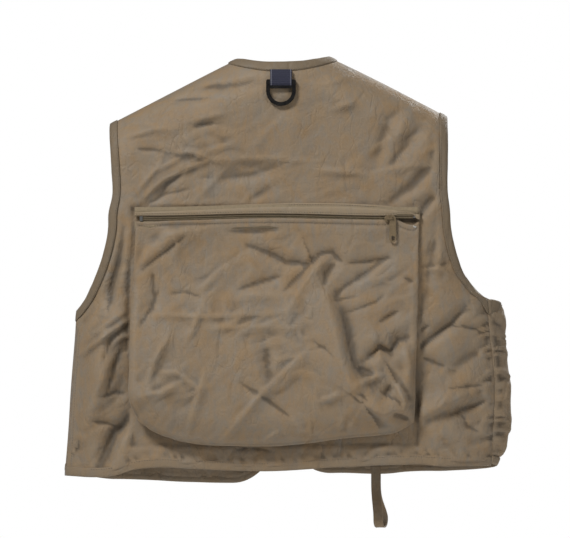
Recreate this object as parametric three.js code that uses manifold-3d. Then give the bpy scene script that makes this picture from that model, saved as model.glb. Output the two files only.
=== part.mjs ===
// A fishing vest, hanging from its shoulders: cloth body, bound edges, a big zipped cargo pocket on the
// back, a ring for a landing net under the neck, a front zip hanging open, four flapped pockets, and a
// loop and a strap that carry a rod on the chest.
//
// Millimetres. +X is the wearer's right, +Y the way the wearer faces and +Z up. The origin is midway
// between the two points where the shoulder seams meet the neck, where a hanger carries the vest.

import * as THREE from "three";
import { mergeVertices } from "three/addons/utils/BufferGeometryUtils.js";
import Module from "manifold-3d";

const wasm = await Module();
wasm.setup();

// ---------------------------------------------------------------- driving dimensions

const GAP = 0.3; // left between neighbouring pieces

// Outline of the body, seen flat.
const NECK_HALF = 54; // neck point to the middle
const SHOULDER_HALF = 205; // shoulder tip to the middle
const SHOULDER_FALL = 0.55; // slope of the shoulder seam
const NECK_BLEND = 30; // softens the shoulder line across the middle of the back
const BACK_ARM_HALF = 203; // half width across the back between the armholes
const FRONT_ARM_HALF = 195;
const ARM_STRAIGHT_END = -170; // height where the armhole starts to curve out to the side seam
const PIT_HALF = 254;
const PIT_Z = -302;
const HEM_HALF = 262;
const HEM_Z = -497; // lower edge of the back
const FRONT_HEM_Z = -510; // the fronts hang a little lower
const FRONT_HEM_TURN = 200; // from here the front hem climbs to the side seam
const NECK_DIP = 5; // the back neck edge sinks this much in the middle
const NECK_END_Z = -190; // where the front neckline meets the front zip

// Depth of the body, as it hangs.
const BACK_DEPTH = 38;
const FRONT_DEPTH = 42;
const SHOULDER_ROLL = 50; // drop over which the cloth turns down from the shoulder seam
const FLAT_SHARE = 0.72; // share of the half width that hangs flat before it turns to the side seam

// Thicknesses and bands.
const CLOTH = 2; // shell and lining together
const BAND = 3; // folded edge band
const BAND_WIDTH = 9.6;
const POCKET_CLOTH = 2;
const FLAP_CLOTH = 1.6;

// Zips.
const COIL_WIDTH = 2.2; // one half of the chain
const COIL_THICK = 2;
const COIL_SPLIT = 0.8; // half the space between the two halves
const TAPE_THICK = 1;
const SLIDER_LENGTH = 12;
const SLIDER_WIDTH = 8.6;
const PLATE_THICK = 1.2;
const STOP_LENGTH = 3.5;
const CROWN_LEG = 1.6;
const CROWN_REACH = 3.6; // crown leg to the slider's centre

// Back zip, its coil lying above the back panel.
const BACK_ZIP_Z = -194;
const BACK_ZIP_LIFT = 2.1;
const BACK_ZIP_LEFT = -168;
const BACK_ZIP_RIGHT = 156;
const BACK_SLIDER_X = 127.8;

// Back pocket.
const BACK_POCKET = {
  centre: -8,
  halfWidth: 171,
  mouthZ: -209.4,
  bottomZ: -467,
  corner: 52,
  mouthDepth: 2.1,
  fullDepth: 28,
  fullFrom: 0.75,
  swellFrom: 0,
};

// Front zip, its coil lying level with the front panels.
const FRONT_ZIP_LIFT = 0.3;
const FRONT_EDGE = 14; // panel edge to the middle
const FRONT_COIL_X = 5.8; // inner side of each half of the chain
const FRONT_ZIP_TOP = -208;
const FRONT_ZIP_FOOT = -445.5;
const BOX_LENGTH = 9;
const CORNER_Z = -456; // the rounded corner of each front starts here
const CORNER_X = 61; // and ends here

// Front pockets, as seen on the wearer's right side.
const CHEST_POCKET = {
  centre: 97,
  halfWidth: 55,
  mouthZ: -205,
  bottomZ: -300,
  corner: 15,
  mouthDepth: 6,
  fullDepth: 16,
  swellFrom: 0.38,
  fullFrom: 0.9,
  flapDrop: 42,
};
const LOWER_POCKET = {
  centre: 122,
  halfWidth: 80,
  mouthZ: -332,
  bottomZ: -480,
  corner: 25,
  mouthDepth: 8,
  fullDepth: 26,
  swellFrom: 0.38,
  fullFrom: 0.9,
  flapDrop: 48,
};
const FLAP_ROOT_RISE = 11; // flap seam above the pocket mouth
const FLAP_OVERLAP = 2; // flap's end past the pocket's side
const TOUCH_TAPE = 1.2; // hook or loop tape
const TOUCH_TAPE_WIDTH = 14;
const TOUCH_TAPE_RISE = 2; // tape above the flap's free edge

// Net ring under the back neck.
const RING_X = -2.4;
const RING_PIVOT_Z = -29.4;
const RING_HALF = 17.8;
const RING_WIRE = 4.6;
const RING_THICK = 4;
const RING_BAR = 1.8; // radius of the bar inside the ribbon
const RIBBON_HALF = 12.6;
const RIBBON_THICK = 1;

// Rod strap and rod loop on the wearer's right front.
const ROD_TAB_X = 100;
const ROD_TAB_TOP = -97;
const ROD_TAB_LENGTH = 45;
const ROD_TAB_HALF = 10; // half its width
const ROD_LOOP_X = 113;
const ROD_LOOP_HALF = 6; // half the strap's width
const ROD_LOOP_BOTTOM = -571;
const ROD_LOOP_CLOTH = 1.6;

// ---------------------------------------------------------------- colours

const COLOURS = {
  cloth: [0x857361, 0.95, 0],
  binding: [0x7b6a56, 0.95, 0],
  tape: [0x8a7a60, 0.9, 0],
  coil: [0x5e5344, 0.6, 0],
  paintedMetal: [0x857456, 0.45, 0.6],
  brightMetal: [0xb8b6ae, 0.3, 1],
  webbing: [0x15172a, 0.85, 0],
  blackPlastic: [0x1b1a1a, 0.45, 0],
  touchTape: [0x6e6250, 1, 0],
};

const vest = new THREE.Group();

function add(name, geometry, look, parent = vest) {
  const [color, roughness, metalness] = COLOURS[look];
  const mesh = new THREE.Mesh(geometry, new THREE.MeshStandardMaterial({ color, roughness, metalness }));
  mesh.name = name;
  parent.add(mesh);
  return mesh;
}

// ---------------------------------------------------------------- points and curves

const at = (x, z) => new THREE.Vector2(x, z);
const clamp = THREE.MathUtils.clamp;
const smoothstep = THREE.MathUtils.smoothstep;

// Points on a curve, from its start to its end.
function line(from, to, cells) {
  return new THREE.LineCurve(from, to).getPoints(cells);
}

// Joins runs of points whose ends meet, leaving out each doubled point.
function joined(...runs) {
  return runs.flatMap((run, i) => (i === 0 ? run : run.slice(1)));
}

// A quarter of an ellipse around a centre, from its left end down to its lowest point.
function cornerArc(centre, across, down, cells) {
  const points = [];
  for (let i = 0; i <= cells; i++) {
    const angle = (Math.PI / 2) * (i / cells);
    points.push(at(centre.x - across * Math.cos(angle), centre.y - down * Math.sin(angle)));
  }
  return points;
}

const mirrored = (points) => points.map((p) => at(-p.x, p.y));

// ---------------------------------------------------------------- the body's surface

function shoulderZ(x) {
  return SHOULDER_FALL * (Math.hypot(NECK_HALF, NECK_BLEND) - Math.hypot(x, NECK_BLEND));
}

function sideX(z) {
  return PIT_HALF + ((HEM_HALF - PIT_HALF) * (PIT_Z - z)) / (PIT_Z - HEM_Z);
}

// Distance of the inside of the cloth from the plane of the seams.
function shellDepth(x, z, depth) {
  const overShoulder = clamp(1 - (shoulderZ(x) - z) / SHOULDER_ROLL, 0, 1);
  const toSide = clamp((Math.abs(x) / sideX(z) - FLAT_SHARE) / (1 - FLAT_SHARE), 0, 1);
  return GAP / 2 + depth * (1 - overShoulder ** 2) * (1 - toSide ** 2);
}

const onBack = (p) => new THREE.Vector3(p.x, -shellDepth(p.x, p.y, BACK_DEPTH), p.y);
const onFront = (p) => new THREE.Vector3(p.x, shellDepth(p.x, p.y, FRONT_DEPTH), p.y);

// Outer faces of the two sides where they hang flat.
const BACK_FACE = -(GAP / 2 + BACK_DEPTH + CLOTH);
const FRONT_FACE = GAP / 2 + FRONT_DEPTH + CLOTH;

const OUT_BACK = new THREE.Vector3(0, -1, 0);
const OUT_FRONT = new THREE.Vector3(0, 1, 0);
const UP = new THREE.Vector3(0, 0, 1);
const RIGHT = new THREE.Vector3(1, 0, 0);

// ---------------------------------------------------------------- solids

function closedGeometry(points, triangles) {
  let volume = 0;
  for (const [a, b, c] of triangles) {
    volume += points[a].dot(new THREE.Vector3().crossVectors(points[b], points[c]));
  }
  const index = volume < 0 ? triangles.map(([a, b, c]) => [a, c, b]) : triangles;
  const geometry = new THREE.BufferGeometry().setFromPoints(points);
  geometry.setIndex(index.flat());
  geometry.computeVertexNormals();
  return geometry;
}

// A sheet of even thickness: grid[row][column] is its near face, and it thickens away from that face,
// towards `out` at the first point of the grid. A ring's last row joins its first.
function sheet(grid, thickness, out, ring = false) {
  const rows = grid.length;
  const columns = grid[0].length;
  const rowAt = (j) => (ring ? (j + rows) % rows : clamp(j, 0, rows - 1));
  const normals = grid.map((row, j) =>
    row.map((_, i) => {
      const down = new THREE.Vector3().subVectors(grid[rowAt(j + 1)][i], grid[rowAt(j - 1)][i]);
      const right = grid[j][Math.min(i + 1, columns - 1)];
      const along = new THREE.Vector3().subVectors(right, grid[j][Math.max(i - 1, 0)]);
      return down.cross(along).normalize();
    }),
  );
  const side = Math.sign(normals[0][0].dot(out));
  const near = grid.flat();
  const far = near.map((p, k) => p.clone().addScaledVector(normals.flat()[k], side * thickness));
  const points = [...near, ...far];
  const nearId = (j, i) => rowAt(j) * columns + i;
  const farId = (j, i) => near.length + nearId(j, i);
  const triangles = [];
  const quad = (a, b, c, d) => triangles.push([a, b, c], [a, c, d]);
  const steps = ring ? rows : rows - 1;
  for (let j = 0; j < steps; j++) {
    for (let i = 0; i < columns - 1; i++) {
      quad(nearId(j, i), nearId(j, i + 1), nearId(j + 1, i + 1), nearId(j + 1, i));
      quad(farId(j, i), farId(j + 1, i), farId(j + 1, i + 1), farId(j, i + 1));
    }
    const end = columns - 1;
    quad(nearId(j, 0), nearId(j + 1, 0), farId(j + 1, 0), farId(j, 0));
    quad(nearId(j, end), farId(j, end), farId(j + 1, end), nearId(j + 1, end));
  }
  if (!ring) {
    const last = rows - 1;
    for (let i = 0; i < columns - 1; i++) {
      quad(nearId(0, i), farId(0, i), farId(0, i + 1), nearId(0, i + 1));
      quad(nearId(last, i), nearId(last, i + 1), farId(last, i + 1), farId(last, i));
    }
  }
  return closedGeometry(points, triangles);
}

// A grid of points that fills the outline made by four runs of points.
function filled(top, bottom, left, right) {
  const columns = top.length - 1;
  const rows = left.length - 1;
  return left.map((_, j) =>
    top.map((_, i) => {
      const u = i / columns;
      const v = j / rows;
      const across = left[j].clone().lerp(right[j], u);
      const down = top[i].clone().lerp(bottom[i], v);
      const upper = top[0].clone().lerp(top[columns], u);
      const lower = bottom[0].clone().lerp(bottom[columns], u);
      return across.add(down).sub(upper.lerp(lower, v));
    }),
  );
}

const mapped = (grid, surface) => grid.map((row) => row.map(surface));

// Two rows of points side by side, as the grid of a narrow strip.
const pairs = (outer, inner, surface) => outer.map((p, i) => [surface(p), surface(inner[i])]);

// The outline of a strip of cloth seen from its edge, around a line of (y, z) points.
function stripProfile(path, thickness) {
  const half = thickness / 2;
  const offset = (side) =>
    path.map((p, i) => {
      const before = path[Math.max(i - 1, 0)];
      const after = path[Math.min(i + 1, path.length - 1)];
      const into = p.clone().sub(before).normalize();
      const away = after.clone().sub(p).normalize();
      const along = into.clone().add(away).normalize();
      const widen = 1 / Math.max(along.dot(i === 0 ? away : into), 0.5);
      return p.clone().add(at(-along.y, along.x).multiplyScalar(side * half * widen));
    });
  return new THREE.Shape([...offset(1), ...offset(-1).reverse()]);
}

// A (y, z) outline drawn out along X.
function alongX(shape, fromX, toX, curveSegments = 12) {
  const depth = toX - fromX;
  const geometry = new THREE.ExtrudeGeometry(shape, { depth, bevelEnabled: false, curveSegments });
  const basis = new THREE.Matrix4().makeBasis(OUT_FRONT, UP, RIGHT);
  return geometry.applyMatrix4(basis).translate(fromX, 0, 0);
}

// A box between two corners.
function block(x0, x1, y0, y1, z0, z1) {
  return new THREE.BoxGeometry(x1 - x0, y1 - y0, z1 - z0).translate(
    (x0 + x1) / 2,
    (y0 + y1) / 2,
    (z0 + z1) / 2,
  );
}

function toManifold(geometry) {
  const bare = geometry.clone();
  bare.deleteAttribute("normal");
  bare.deleteAttribute("uv");
  const merged = mergeVertices(bare, 1e-4);
  const vertProperties = merged.attributes.position.array;
  const triVerts = new Uint32Array(merged.index.array);
  return new wasm.Manifold(new wasm.Mesh({ numProp: 3, vertProperties, triVerts }));
}

function fused(geometries) {
  const solid = geometries.map(toManifold).reduce((whole, piece) => whole.add(piece));
  const mesh = solid.getMesh();
  const geometry = new THREE.BufferGeometry();
  geometry.setAttribute("position", new THREE.BufferAttribute(mesh.vertProperties, mesh.numProp));
  geometry.setIndex(new THREE.BufferAttribute(mesh.triVerts, 1));
  geometry.computeVertexNormals();
  return geometry;
}

// ---------------------------------------------------------------- edges of the cloth

const ARM_ROWS = 12;
const SIDE_ROWS = 8;
const PANEL_COLUMNS = 12; // across half of the body

const PIT_SLANT = 1.45; // drop along the side seam for each mm that a line is set in from the armhole
const ARM_PULL = 45; // how far the straight part of the armhole goes on pulling its curve down
const PIT_PULL = { across: 22, up: 27 }; // and the side seam pulling it out

// The armhole edge from the shoulder tip to the side seam, or a line set in from it.
function armhole(armHalf, inset) {
  const tipX = SHOULDER_HALF - inset;
  const straight = line(at(tipX, shoulderZ(tipX)), at(armHalf - inset, ARM_STRAIGHT_END), ARM_ROWS / 3);
  const endZ = PIT_Z - PIT_SLANT * inset;
  const curve = new THREE.CubicBezierCurve(
    at(armHalf - inset, ARM_STRAIGHT_END),
    at(armHalf - inset, ARM_STRAIGHT_END - ARM_PULL - 0.3 * inset),
    at(PIT_HALF - PIT_PULL.across - 0.8 * inset, PIT_Z + PIT_PULL.up - 0.8 * inset),
    at(sideX(endZ), endZ),
  );
  return joined(straight, curve.getPoints((2 * ARM_ROWS) / 3));
}

// The armhole seam followed by the side seam, down to the hem band.
function panelSide(armHalf, hemZ) {
  const seam = armhole(armHalf, BAND_WIDTH + GAP);
  const start = seam[seam.length - 1];
  return joined(seam, line(start, at(sideX(hemZ), hemZ), SIDE_ROWS).map((p) => at(sideX(p.y), p.y)));
}

function shoulderSeam(fromX, toX, cells) {
  return line(at(fromX, 0), at(toX, 0), cells).map((p) => at(p.x, shoulderZ(p.x)));
}

// The back neck edge, or its seam, from left to right.
function backNeck(halfWidth, middleZ, cells) {
  const endZ = shoulderZ(halfWidth);
  return line(at(-halfWidth, 0), at(halfWidth, 0), cells).map((p) =>
    at(p.x, middleZ + (endZ - middleZ) * (p.x / halfWidth) ** 2),
  );
}

// The front neckline on the right side, from the shoulder seam down to the front zip.
function frontNeck(start, end, cells) {
  const bend = at(start.x - 14, (start.y + end.y) / 2);
  return new THREE.QuadraticBezierCurve(start, bend, end).getPoints(cells);
}

const NECK_BAND_WIDTH = BAND_WIDTH + 2.4;
const NECK_SEAM_HALF = NECK_HALF + NECK_BAND_WIDTH;
const NECK_CELLS = 8;
const FRONT_NECK_CELLS = 8;

function frontHemZ(x) {
  const climb = clamp((x - FRONT_HEM_TURN) / (HEM_HALF - FRONT_HEM_TURN), 0, 1);
  return FRONT_HEM_Z + (HEM_Z - FRONT_HEM_Z) * climb ** 2;
}

// The lower edge of the right front, or a line set in from it: round the corner, then to the side seam.
function frontHem(edgeX, inset) {
  const centre = at(CORNER_X, CORNER_Z);
  const corner = cornerArc(centre, CORNER_X - edgeX, CORNER_Z - FRONT_HEM_Z - inset, PANEL_COLUMNS / 2);
  const endX = sideX(HEM_Z + inset);
  const straight = line(at(CORNER_X, 0), at(endX, 0), PANEL_COLUMNS / 2);
  return joined(corner, straight.map((p) => at(p.x, frontHemZ(p.x) + inset)));
}

// ---------------------------------------------------------------- body panels and bands

const HEM_SEAM_Z = HEM_Z + BAND_WIDTH + GAP;

function backPanel() {
  const seamHalf = SHOULDER_HALF - BAND_WIDTH - GAP;
  const neckZ = -NECK_DIP - NECK_BAND_WIDTH;
  const right = panelSide(BACK_ARM_HALF, HEM_SEAM_Z);
  const top = joined(
    shoulderSeam(-seamHalf, -NECK_SEAM_HALF, NECK_CELLS),
    backNeck(NECK_SEAM_HALF, neckZ, NECK_CELLS),
    shoulderSeam(NECK_SEAM_HALF, seamHalf, NECK_CELLS),
  );
  const hemEnd = right[right.length - 1];
  const bottom = line(at(-hemEnd.x, hemEnd.y), hemEnd, 2 * PANEL_COLUMNS);
  return sheet(mapped(filled(top, bottom, mirrored(right), right), onBack), CLOTH, OUT_BACK);
}

function frontPanel() {
  const neckTop = at(NECK_SEAM_HALF, shoulderZ(NECK_SEAM_HALF));
  const neckEnd = at(FRONT_EDGE, NECK_END_Z - NECK_BAND_WIDTH);
  const left = joined(
    frontNeck(neckTop, neckEnd, FRONT_NECK_CELLS),
    line(neckEnd, at(FRONT_EDGE, CORNER_Z), ARM_ROWS + SIDE_ROWS - FRONT_NECK_CELLS),
  );
  const right = panelSide(FRONT_ARM_HALF, HEM_SEAM_Z);
  const top = shoulderSeam(NECK_SEAM_HALF, SHOULDER_HALF - BAND_WIDTH - GAP, PANEL_COLUMNS);
  const bottom = frontHem(FRONT_EDGE, BAND_WIDTH + GAP);
  return sheet(mapped(filled(top, bottom, left, right), onFront), CLOTH, OUT_FRONT);
}

// One strip: up the left neckline, round the back of the neck and down the right neckline.
function neckBand() {
  const inset = GAP;
  const seamHalf = NECK_SEAM_HALF - inset;
  const outerFront = frontNeck(at(NECK_HALF, 0), at(4, NECK_END_Z), FRONT_NECK_CELLS);
  const innerEnd = at(FRONT_EDGE - inset, NECK_END_Z - NECK_BAND_WIDTH);
  const innerFront = frontNeck(at(seamHalf, shoulderZ(seamHalf)), innerEnd, FRONT_NECK_CELLS);
  const outerBack = backNeck(NECK_HALF, -NECK_DIP, NECK_CELLS);
  const innerBack = backNeck(seamHalf, -NECK_DIP - NECK_BAND_WIDTH + inset, NECK_CELLS);
  const rightSide = pairs(outerFront, innerFront, onFront);
  const leftSide = pairs(mirrored(outerFront), mirrored(innerFront), onFront).reverse();
  const back = pairs(outerBack, innerBack, onBack);
  return sheet([...leftSide, ...back, ...rightSide], BAND, OUT_FRONT);
}

// A closed ring around the right armhole, from the side seam up the back and down the front.
function armholeBand() {
  const back = pairs(armhole(BACK_ARM_HALF, 0), armhole(BACK_ARM_HALF, BAND_WIDTH), onBack).reverse();
  const front = pairs(armhole(FRONT_ARM_HALF, 0), armhole(FRONT_ARM_HALF, BAND_WIDTH), onFront);
  return sheet([...back, ...front], BAND, OUT_BACK, true);
}

function backHemBand() {
  const seamZ = HEM_SEAM_Z - GAP;
  const upper = line(at(-sideX(seamZ), seamZ), at(sideX(seamZ), seamZ), 2 * PANEL_COLUMNS);
  const lower = line(at(-HEM_HALF, HEM_Z), at(HEM_HALF, HEM_Z), 2 * PANEL_COLUMNS);
  return sheet(pairs(upper, lower, onBack), BAND, OUT_BACK);
}

function frontHemBand() {
  const upper = frontHem(FRONT_EDGE - GAP, BAND_WIDTH);
  const lower = frontHem(FRONT_COIL_X + COIL_WIDTH + GAP, 0);
  return sheet(pairs(upper, lower, onFront), BAND, OUT_FRONT);
}

// ---------------------------------------------------------------- pockets

// How far the inside of a pocket's face stands off the panel.
function pocketDepth(pocket, z) {
  const down = (pocket.mouthZ - z) / (pocket.mouthZ - pocket.bottomZ);
  const swell = smoothstep(down, pocket.swellFrom, pocket.fullFrom);
  return pocket.mouthDepth + (pocket.fullDepth - pocket.mouthDepth) * swell;
}

// The pocket's right-hand outline, from the mouth round the corner to the middle of the bottom.
function pocketEdge(pocket, sideCells, arcCells, bottomCells) {
  const { centre, halfWidth, mouthZ, bottomZ, corner } = pocket;
  const turnZ = bottomZ + corner;
  const arc = cornerArc(at(-centre - halfWidth + corner, turnZ), corner, corner, arcCells);
  const leftwards = joined(
    line(at(-centre - halfWidth, mouthZ), at(-centre - halfWidth, turnZ), sideCells),
    arc,
    line(arc[arc.length - 1], at(-centre, bottomZ), bottomCells),
  );
  return mirrored(leftwards);
}

// The same outline on the other side of the pocket's middle.
const otherSide = (points, centre) => points.map((p) => at(2 * centre - p.x, p.y));

const GUSSET_CLOTH = POCKET_CLOTH * 0.75; // one layer less than the hemmed face
const POCKET_SIDE_CELLS = 6;
const POCKET_ARC_CELLS = 4;
const POCKET_BOTTOM_CELLS = 4;

function pocketFace(pocket, panelFace, sign) {
  const edge = pocketEdge(pocket, POCKET_SIDE_CELLS, POCKET_ARC_CELLS, POCKET_BOTTOM_CELLS);
  const split = POCKET_SIDE_CELLS + POCKET_ARC_CELLS / 2;
  const right = edge.slice(0, split + 1);
  const bottomRight = edge.slice(split).reverse();
  const left = otherSide(right, pocket.centre);
  const bottom = joined(otherSide(bottomRight, pocket.centre).reverse(), bottomRight);
  const top = line(left[0], right[0], bottom.length - 1);
  const surface = (p) => new THREE.Vector3(p.x, panelFace + sign * pocketDepth(pocket, p.y), p.y);
  const out = sign > 0 ? OUT_FRONT : OUT_BACK;
  return sheet(mapped(filled(top, bottom, left, right), surface), POCKET_CLOTH, out);
}

// The strip that joins the edge of the face to the panel, down one side, along the bottom and up.
function pocketGusset(pocket, panel, sign) {
  const right = pocketEdge(pocket, POCKET_SIDE_CELLS, POCKET_ARC_CELLS, POCKET_BOTTOM_CELLS);
  const path = joined(otherSide(right, pocket.centre), right.slice().reverse());
  const flatFace = sign > 0 ? FRONT_FACE : BACK_FACE;
  const grid = path.map((p) => {
    const foot = panel(p).y + sign * (CLOTH + GAP);
    const head = flatFace + sign * (pocketDepth(pocket, p.y) - GAP);
    return [new THREE.Vector3(p.x, foot, p.y), new THREE.Vector3(p.x, head, p.y)];
  });
  return sheet(grid, GUSSET_CLOTH, RIGHT);
}

// The flap's line from its seam on the panel, out over the pocket mouth and down, as (y, z) points.
function flapPath(pocket) {
  const rootY = FRONT_FACE + GAP + FLAP_CLOTH;
  const tapes = 2 * TOUCH_TAPE + 3 * GAP;
  const hangY = FRONT_FACE + pocket.mouthDepth + POCKET_CLOTH + tapes + FLAP_CLOTH / 2;
  const rootZ = pocket.mouthZ + FLAP_ROOT_RISE;
  const bendZ = pocket.mouthZ + 1.5;
  return [at(rootY, rootZ), at(hangY, bendZ), at(hangY, pocket.mouthZ - pocket.flapDrop)];
}

function frontPocket(parent, pocket, name, side) {
  add(`${name}_face_${side}`, pocketFace(pocket, FRONT_FACE, 1), "cloth", parent);
  add(`${name}_gusset_${side}`, pocketGusset(pocket, onFront, 1), "cloth", parent);
  const x0 = pocket.centre - pocket.halfWidth - FLAP_OVERLAP;
  const x1 = pocket.centre + pocket.halfWidth + FLAP_OVERLAP;
  const path = flapPath(pocket);
  add(`${name}_flap_${side}`, alongX(stripProfile(path, FLAP_CLOTH), x0, x1), "cloth", parent);
  const tapeHalf = pocket.halfWidth / 2;
  const tapeFoot = path[2].y + TOUCH_TAPE_RISE;
  const tapeTop = tapeFoot + TOUCH_TAPE_WIDTH;
  const faceY = FRONT_FACE + pocket.mouthDepth + POCKET_CLOTH;
  const [tapeX0, tapeX1] = [pocket.centre - tapeHalf, pocket.centre + tapeHalf];
  const loop = block(tapeX0, tapeX1, faceY + GAP, faceY + GAP + TOUCH_TAPE, tapeFoot, tapeTop);
  const hookY = faceY + 2 * GAP + TOUCH_TAPE;
  const hook = block(tapeX0, tapeX1, hookY, hookY + TOUCH_TAPE, tapeFoot, tapeTop);
  add(`${name}_loop_tape_${side}`, loop, "touchTape", parent);
  add(`${name}_hook_tape_${side}`, hook, "touchTape", parent);
}

// ---------------------------------------------------------------- zips

// A slider lying along X with its crown towards +Y, above a chain whose underside is at y = 0.
function sliderBody() {
  const top = COIL_THICK + 0.4;
  const crownInside = top + PLATE_THICK + 2.6;
  const crownOutside = crownInside + PLATE_THICK;
  const half = SLIDER_LENGTH / 2;
  const plate = (y0) => {
    const outline = new THREE.Shape();
    outline.moveTo(-half + 1.5, -SLIDER_WIDTH / 2 + 0.8);
    outline.lineTo(half - 2.5, -SLIDER_WIDTH / 2);
    outline.quadraticCurveTo(half, -SLIDER_WIDTH / 2, half, -1.2);
    outline.lineTo(half, 1.2);
    outline.quadraticCurveTo(half, SLIDER_WIDTH / 2, half - 2.5, SLIDER_WIDTH / 2);
    outline.lineTo(-half + 1.5, SLIDER_WIDTH / 2 - 0.8);
    outline.quadraticCurveTo(-half, SLIDER_WIDTH / 2 - 0.8, -half, SLIDER_WIDTH / 2 - 2.2);
    outline.lineTo(-half, -SLIDER_WIDTH / 2 + 2.2);
    outline.quadraticCurveTo(-half, -SLIDER_WIDTH / 2 + 0.8, -half + 1.5, -SLIDER_WIDTH / 2 + 0.8);
    const depth = PLATE_THICK;
    const geometry = new THREE.ExtrudeGeometry(outline, { depth, bevelEnabled: false, curveSegments: 4 });
    return geometry.rotateX(Math.PI / 2).translate(0, y0 + PLATE_THICK, 0);
  };
  const lip = (side) => {
    const inner = COIL_SPLIT + COIL_WIDTH + GAP;
    const [z0, z1] = side > 0 ? [inner, inner + 0.7] : [-inner - 0.7, -inner];
    return block(-half + 2, half - 3, TAPE_THICK + GAP, top + 0.1, z0, z1);
  };
  const leg = (x) =>
    block(x - CROWN_LEG / 2, x + CROWN_LEG / 2, top + 0.1, crownOutside, -CROWN_LEG / 2, CROWN_LEG / 2);
  const reach = CROWN_REACH + CROWN_LEG / 2;
  return fused([
    plate(-0.4 - PLATE_THICK),
    plate(top),
    block(half - 4, half - 1, -0.6, top + 0.2, -0.5, 0.5),
    lip(1),
    lip(-1),
    leg(-CROWN_REACH),
    leg(CROWN_REACH),
    block(-reach, reach, crownInside, crownOutside, -CROWN_LEG / 2, CROWN_LEG / 2),
  ]);
}

const PULL_THICK = 1.2;
const PULL_Y = COIL_THICK + 0.4 + PLATE_THICK + 0.7; // underside of a pull above the chain's underside
const PULL_LENGTH = 28.7; // pivot to the round end
const PULL_END_RADIUS = 4.3;
const PULL_HOLE_RADIUS = 2.9;
const PULL_HOLE_RISE = 5; // hole centre above the round end

// A pull hanging from its pivot at the origin towards -Z, lying flat towards +Y.
function pullTab(eyeTop, eyeHalf, eye) {
  const outline = new THREE.Shape();
  const endCentre = -PULL_LENGTH + PULL_END_RADIUS;
  outline.moveTo(-eyeHalf, 0);
  outline.lineTo(-PULL_END_RADIUS, endCentre);
  outline.absarc(0, endCentre, PULL_END_RADIUS, Math.PI, 2 * Math.PI, false);
  outline.lineTo(eyeHalf, 0);
  outline.absellipse(0, 0, eyeHalf, eyeTop, 0, Math.PI, false);
  const holeCentre = -PULL_LENGTH + PULL_HOLE_RISE;
  const hole = new THREE.Path().absarc(0, holeCentre, PULL_HOLE_RADIUS, 0, 2 * Math.PI, true);
  outline.holes.push(hole, eye);
  const depth = PULL_THICK;
  const geometry = new THREE.ExtrudeGeometry(outline, { depth, bevelEnabled: false, curveSegments: 10 });
  return geometry.rotateX(Math.PI / 2).translate(0, PULL_THICK, 0);
}

function backZip() {
  const zip = new THREE.Group();
  zip.position.set(0, BACK_FACE - BACK_ZIP_LIFT, BACK_ZIP_Z);
  vest.add(zip);
  const inner = COIL_SPLIT;
  const outer = COIL_SPLIT + COIL_WIDTH;
  const tapeEdge = outer + GAP;
  const x0 = BACK_POCKET.centre - BACK_POCKET.halfWidth;
  const x1 = BACK_POCKET.centre + BACK_POCKET.halfWidth;
  const coil = (z0, z1) => block(BACK_ZIP_LEFT, BACK_ZIP_RIGHT, -COIL_THICK, 0, z0, z1);
  add("back_zip_coil_upper", coil(inner, outer), "coil", zip);
  add("back_zip_coil_lower", coil(-outer, -inner), "coil", zip);

  // The upper tape is folded back onto the panel along its top edge, as a welt.
  const weltTop = 16;
  const weltFoot = 10;
  const footY = BACK_ZIP_LIFT - GAP;
  const welt = new THREE.Shape([
    at(-TAPE_THICK, tapeEdge),
    at(0, tapeEdge),
    at(0, weltFoot),
    at(footY, weltFoot),
    at(footY, weltTop),
    at(-TAPE_THICK, weltTop),
  ]);
  add("back_zip_tape_upper", alongX(welt, x0, x1), "tape", zip);
  const lowerEnd = BACK_POCKET.mouthZ - BACK_ZIP_Z + GAP;
  add("back_zip_tape_lower", block(x0, x1, -TAPE_THICK, 0, lowerEnd, -tapeEdge), "tape", zip);

  const stop = (x, z0, z1) => block(x, x + STOP_LENGTH, -COIL_THICK - 0.4, 0.4, z0, z1);
  const leftX = BACK_ZIP_LEFT - GAP - STOP_LENGTH;
  const rightX = BACK_ZIP_RIGHT + GAP;
  add("back_zip_bottom_stop", stop(leftX, -outer, outer), "brightMetal", zip);
  add("back_zip_top_stop_upper", stop(rightX, inner, outer), "brightMetal", zip);
  add("back_zip_top_stop_lower", stop(rightX, -outer, -inner), "brightMetal", zip);

  // The slider is turned over, so that its crown faces away from the wearer.
  const slider = new THREE.Group();
  slider.position.set(BACK_SLIDER_X, 0, 0);
  slider.rotation.x = Math.PI;
  zip.add(slider);
  add("back_zip_slider", sliderBody(), "paintedMetal", slider);

  // The pull hangs from the crown's right leg.
  const eye = new THREE.Path().absarc(0, 0, CROWN_LEG, 0, 2 * Math.PI, true);
  const pull = add("back_zip_pull", pullTab(3.7, 3.7, eye), "paintedMetal", zip);
  pull.position.set(BACK_SLIDER_X + CROWN_REACH, -PULL_Y - PULL_THICK, 0);
}

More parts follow.
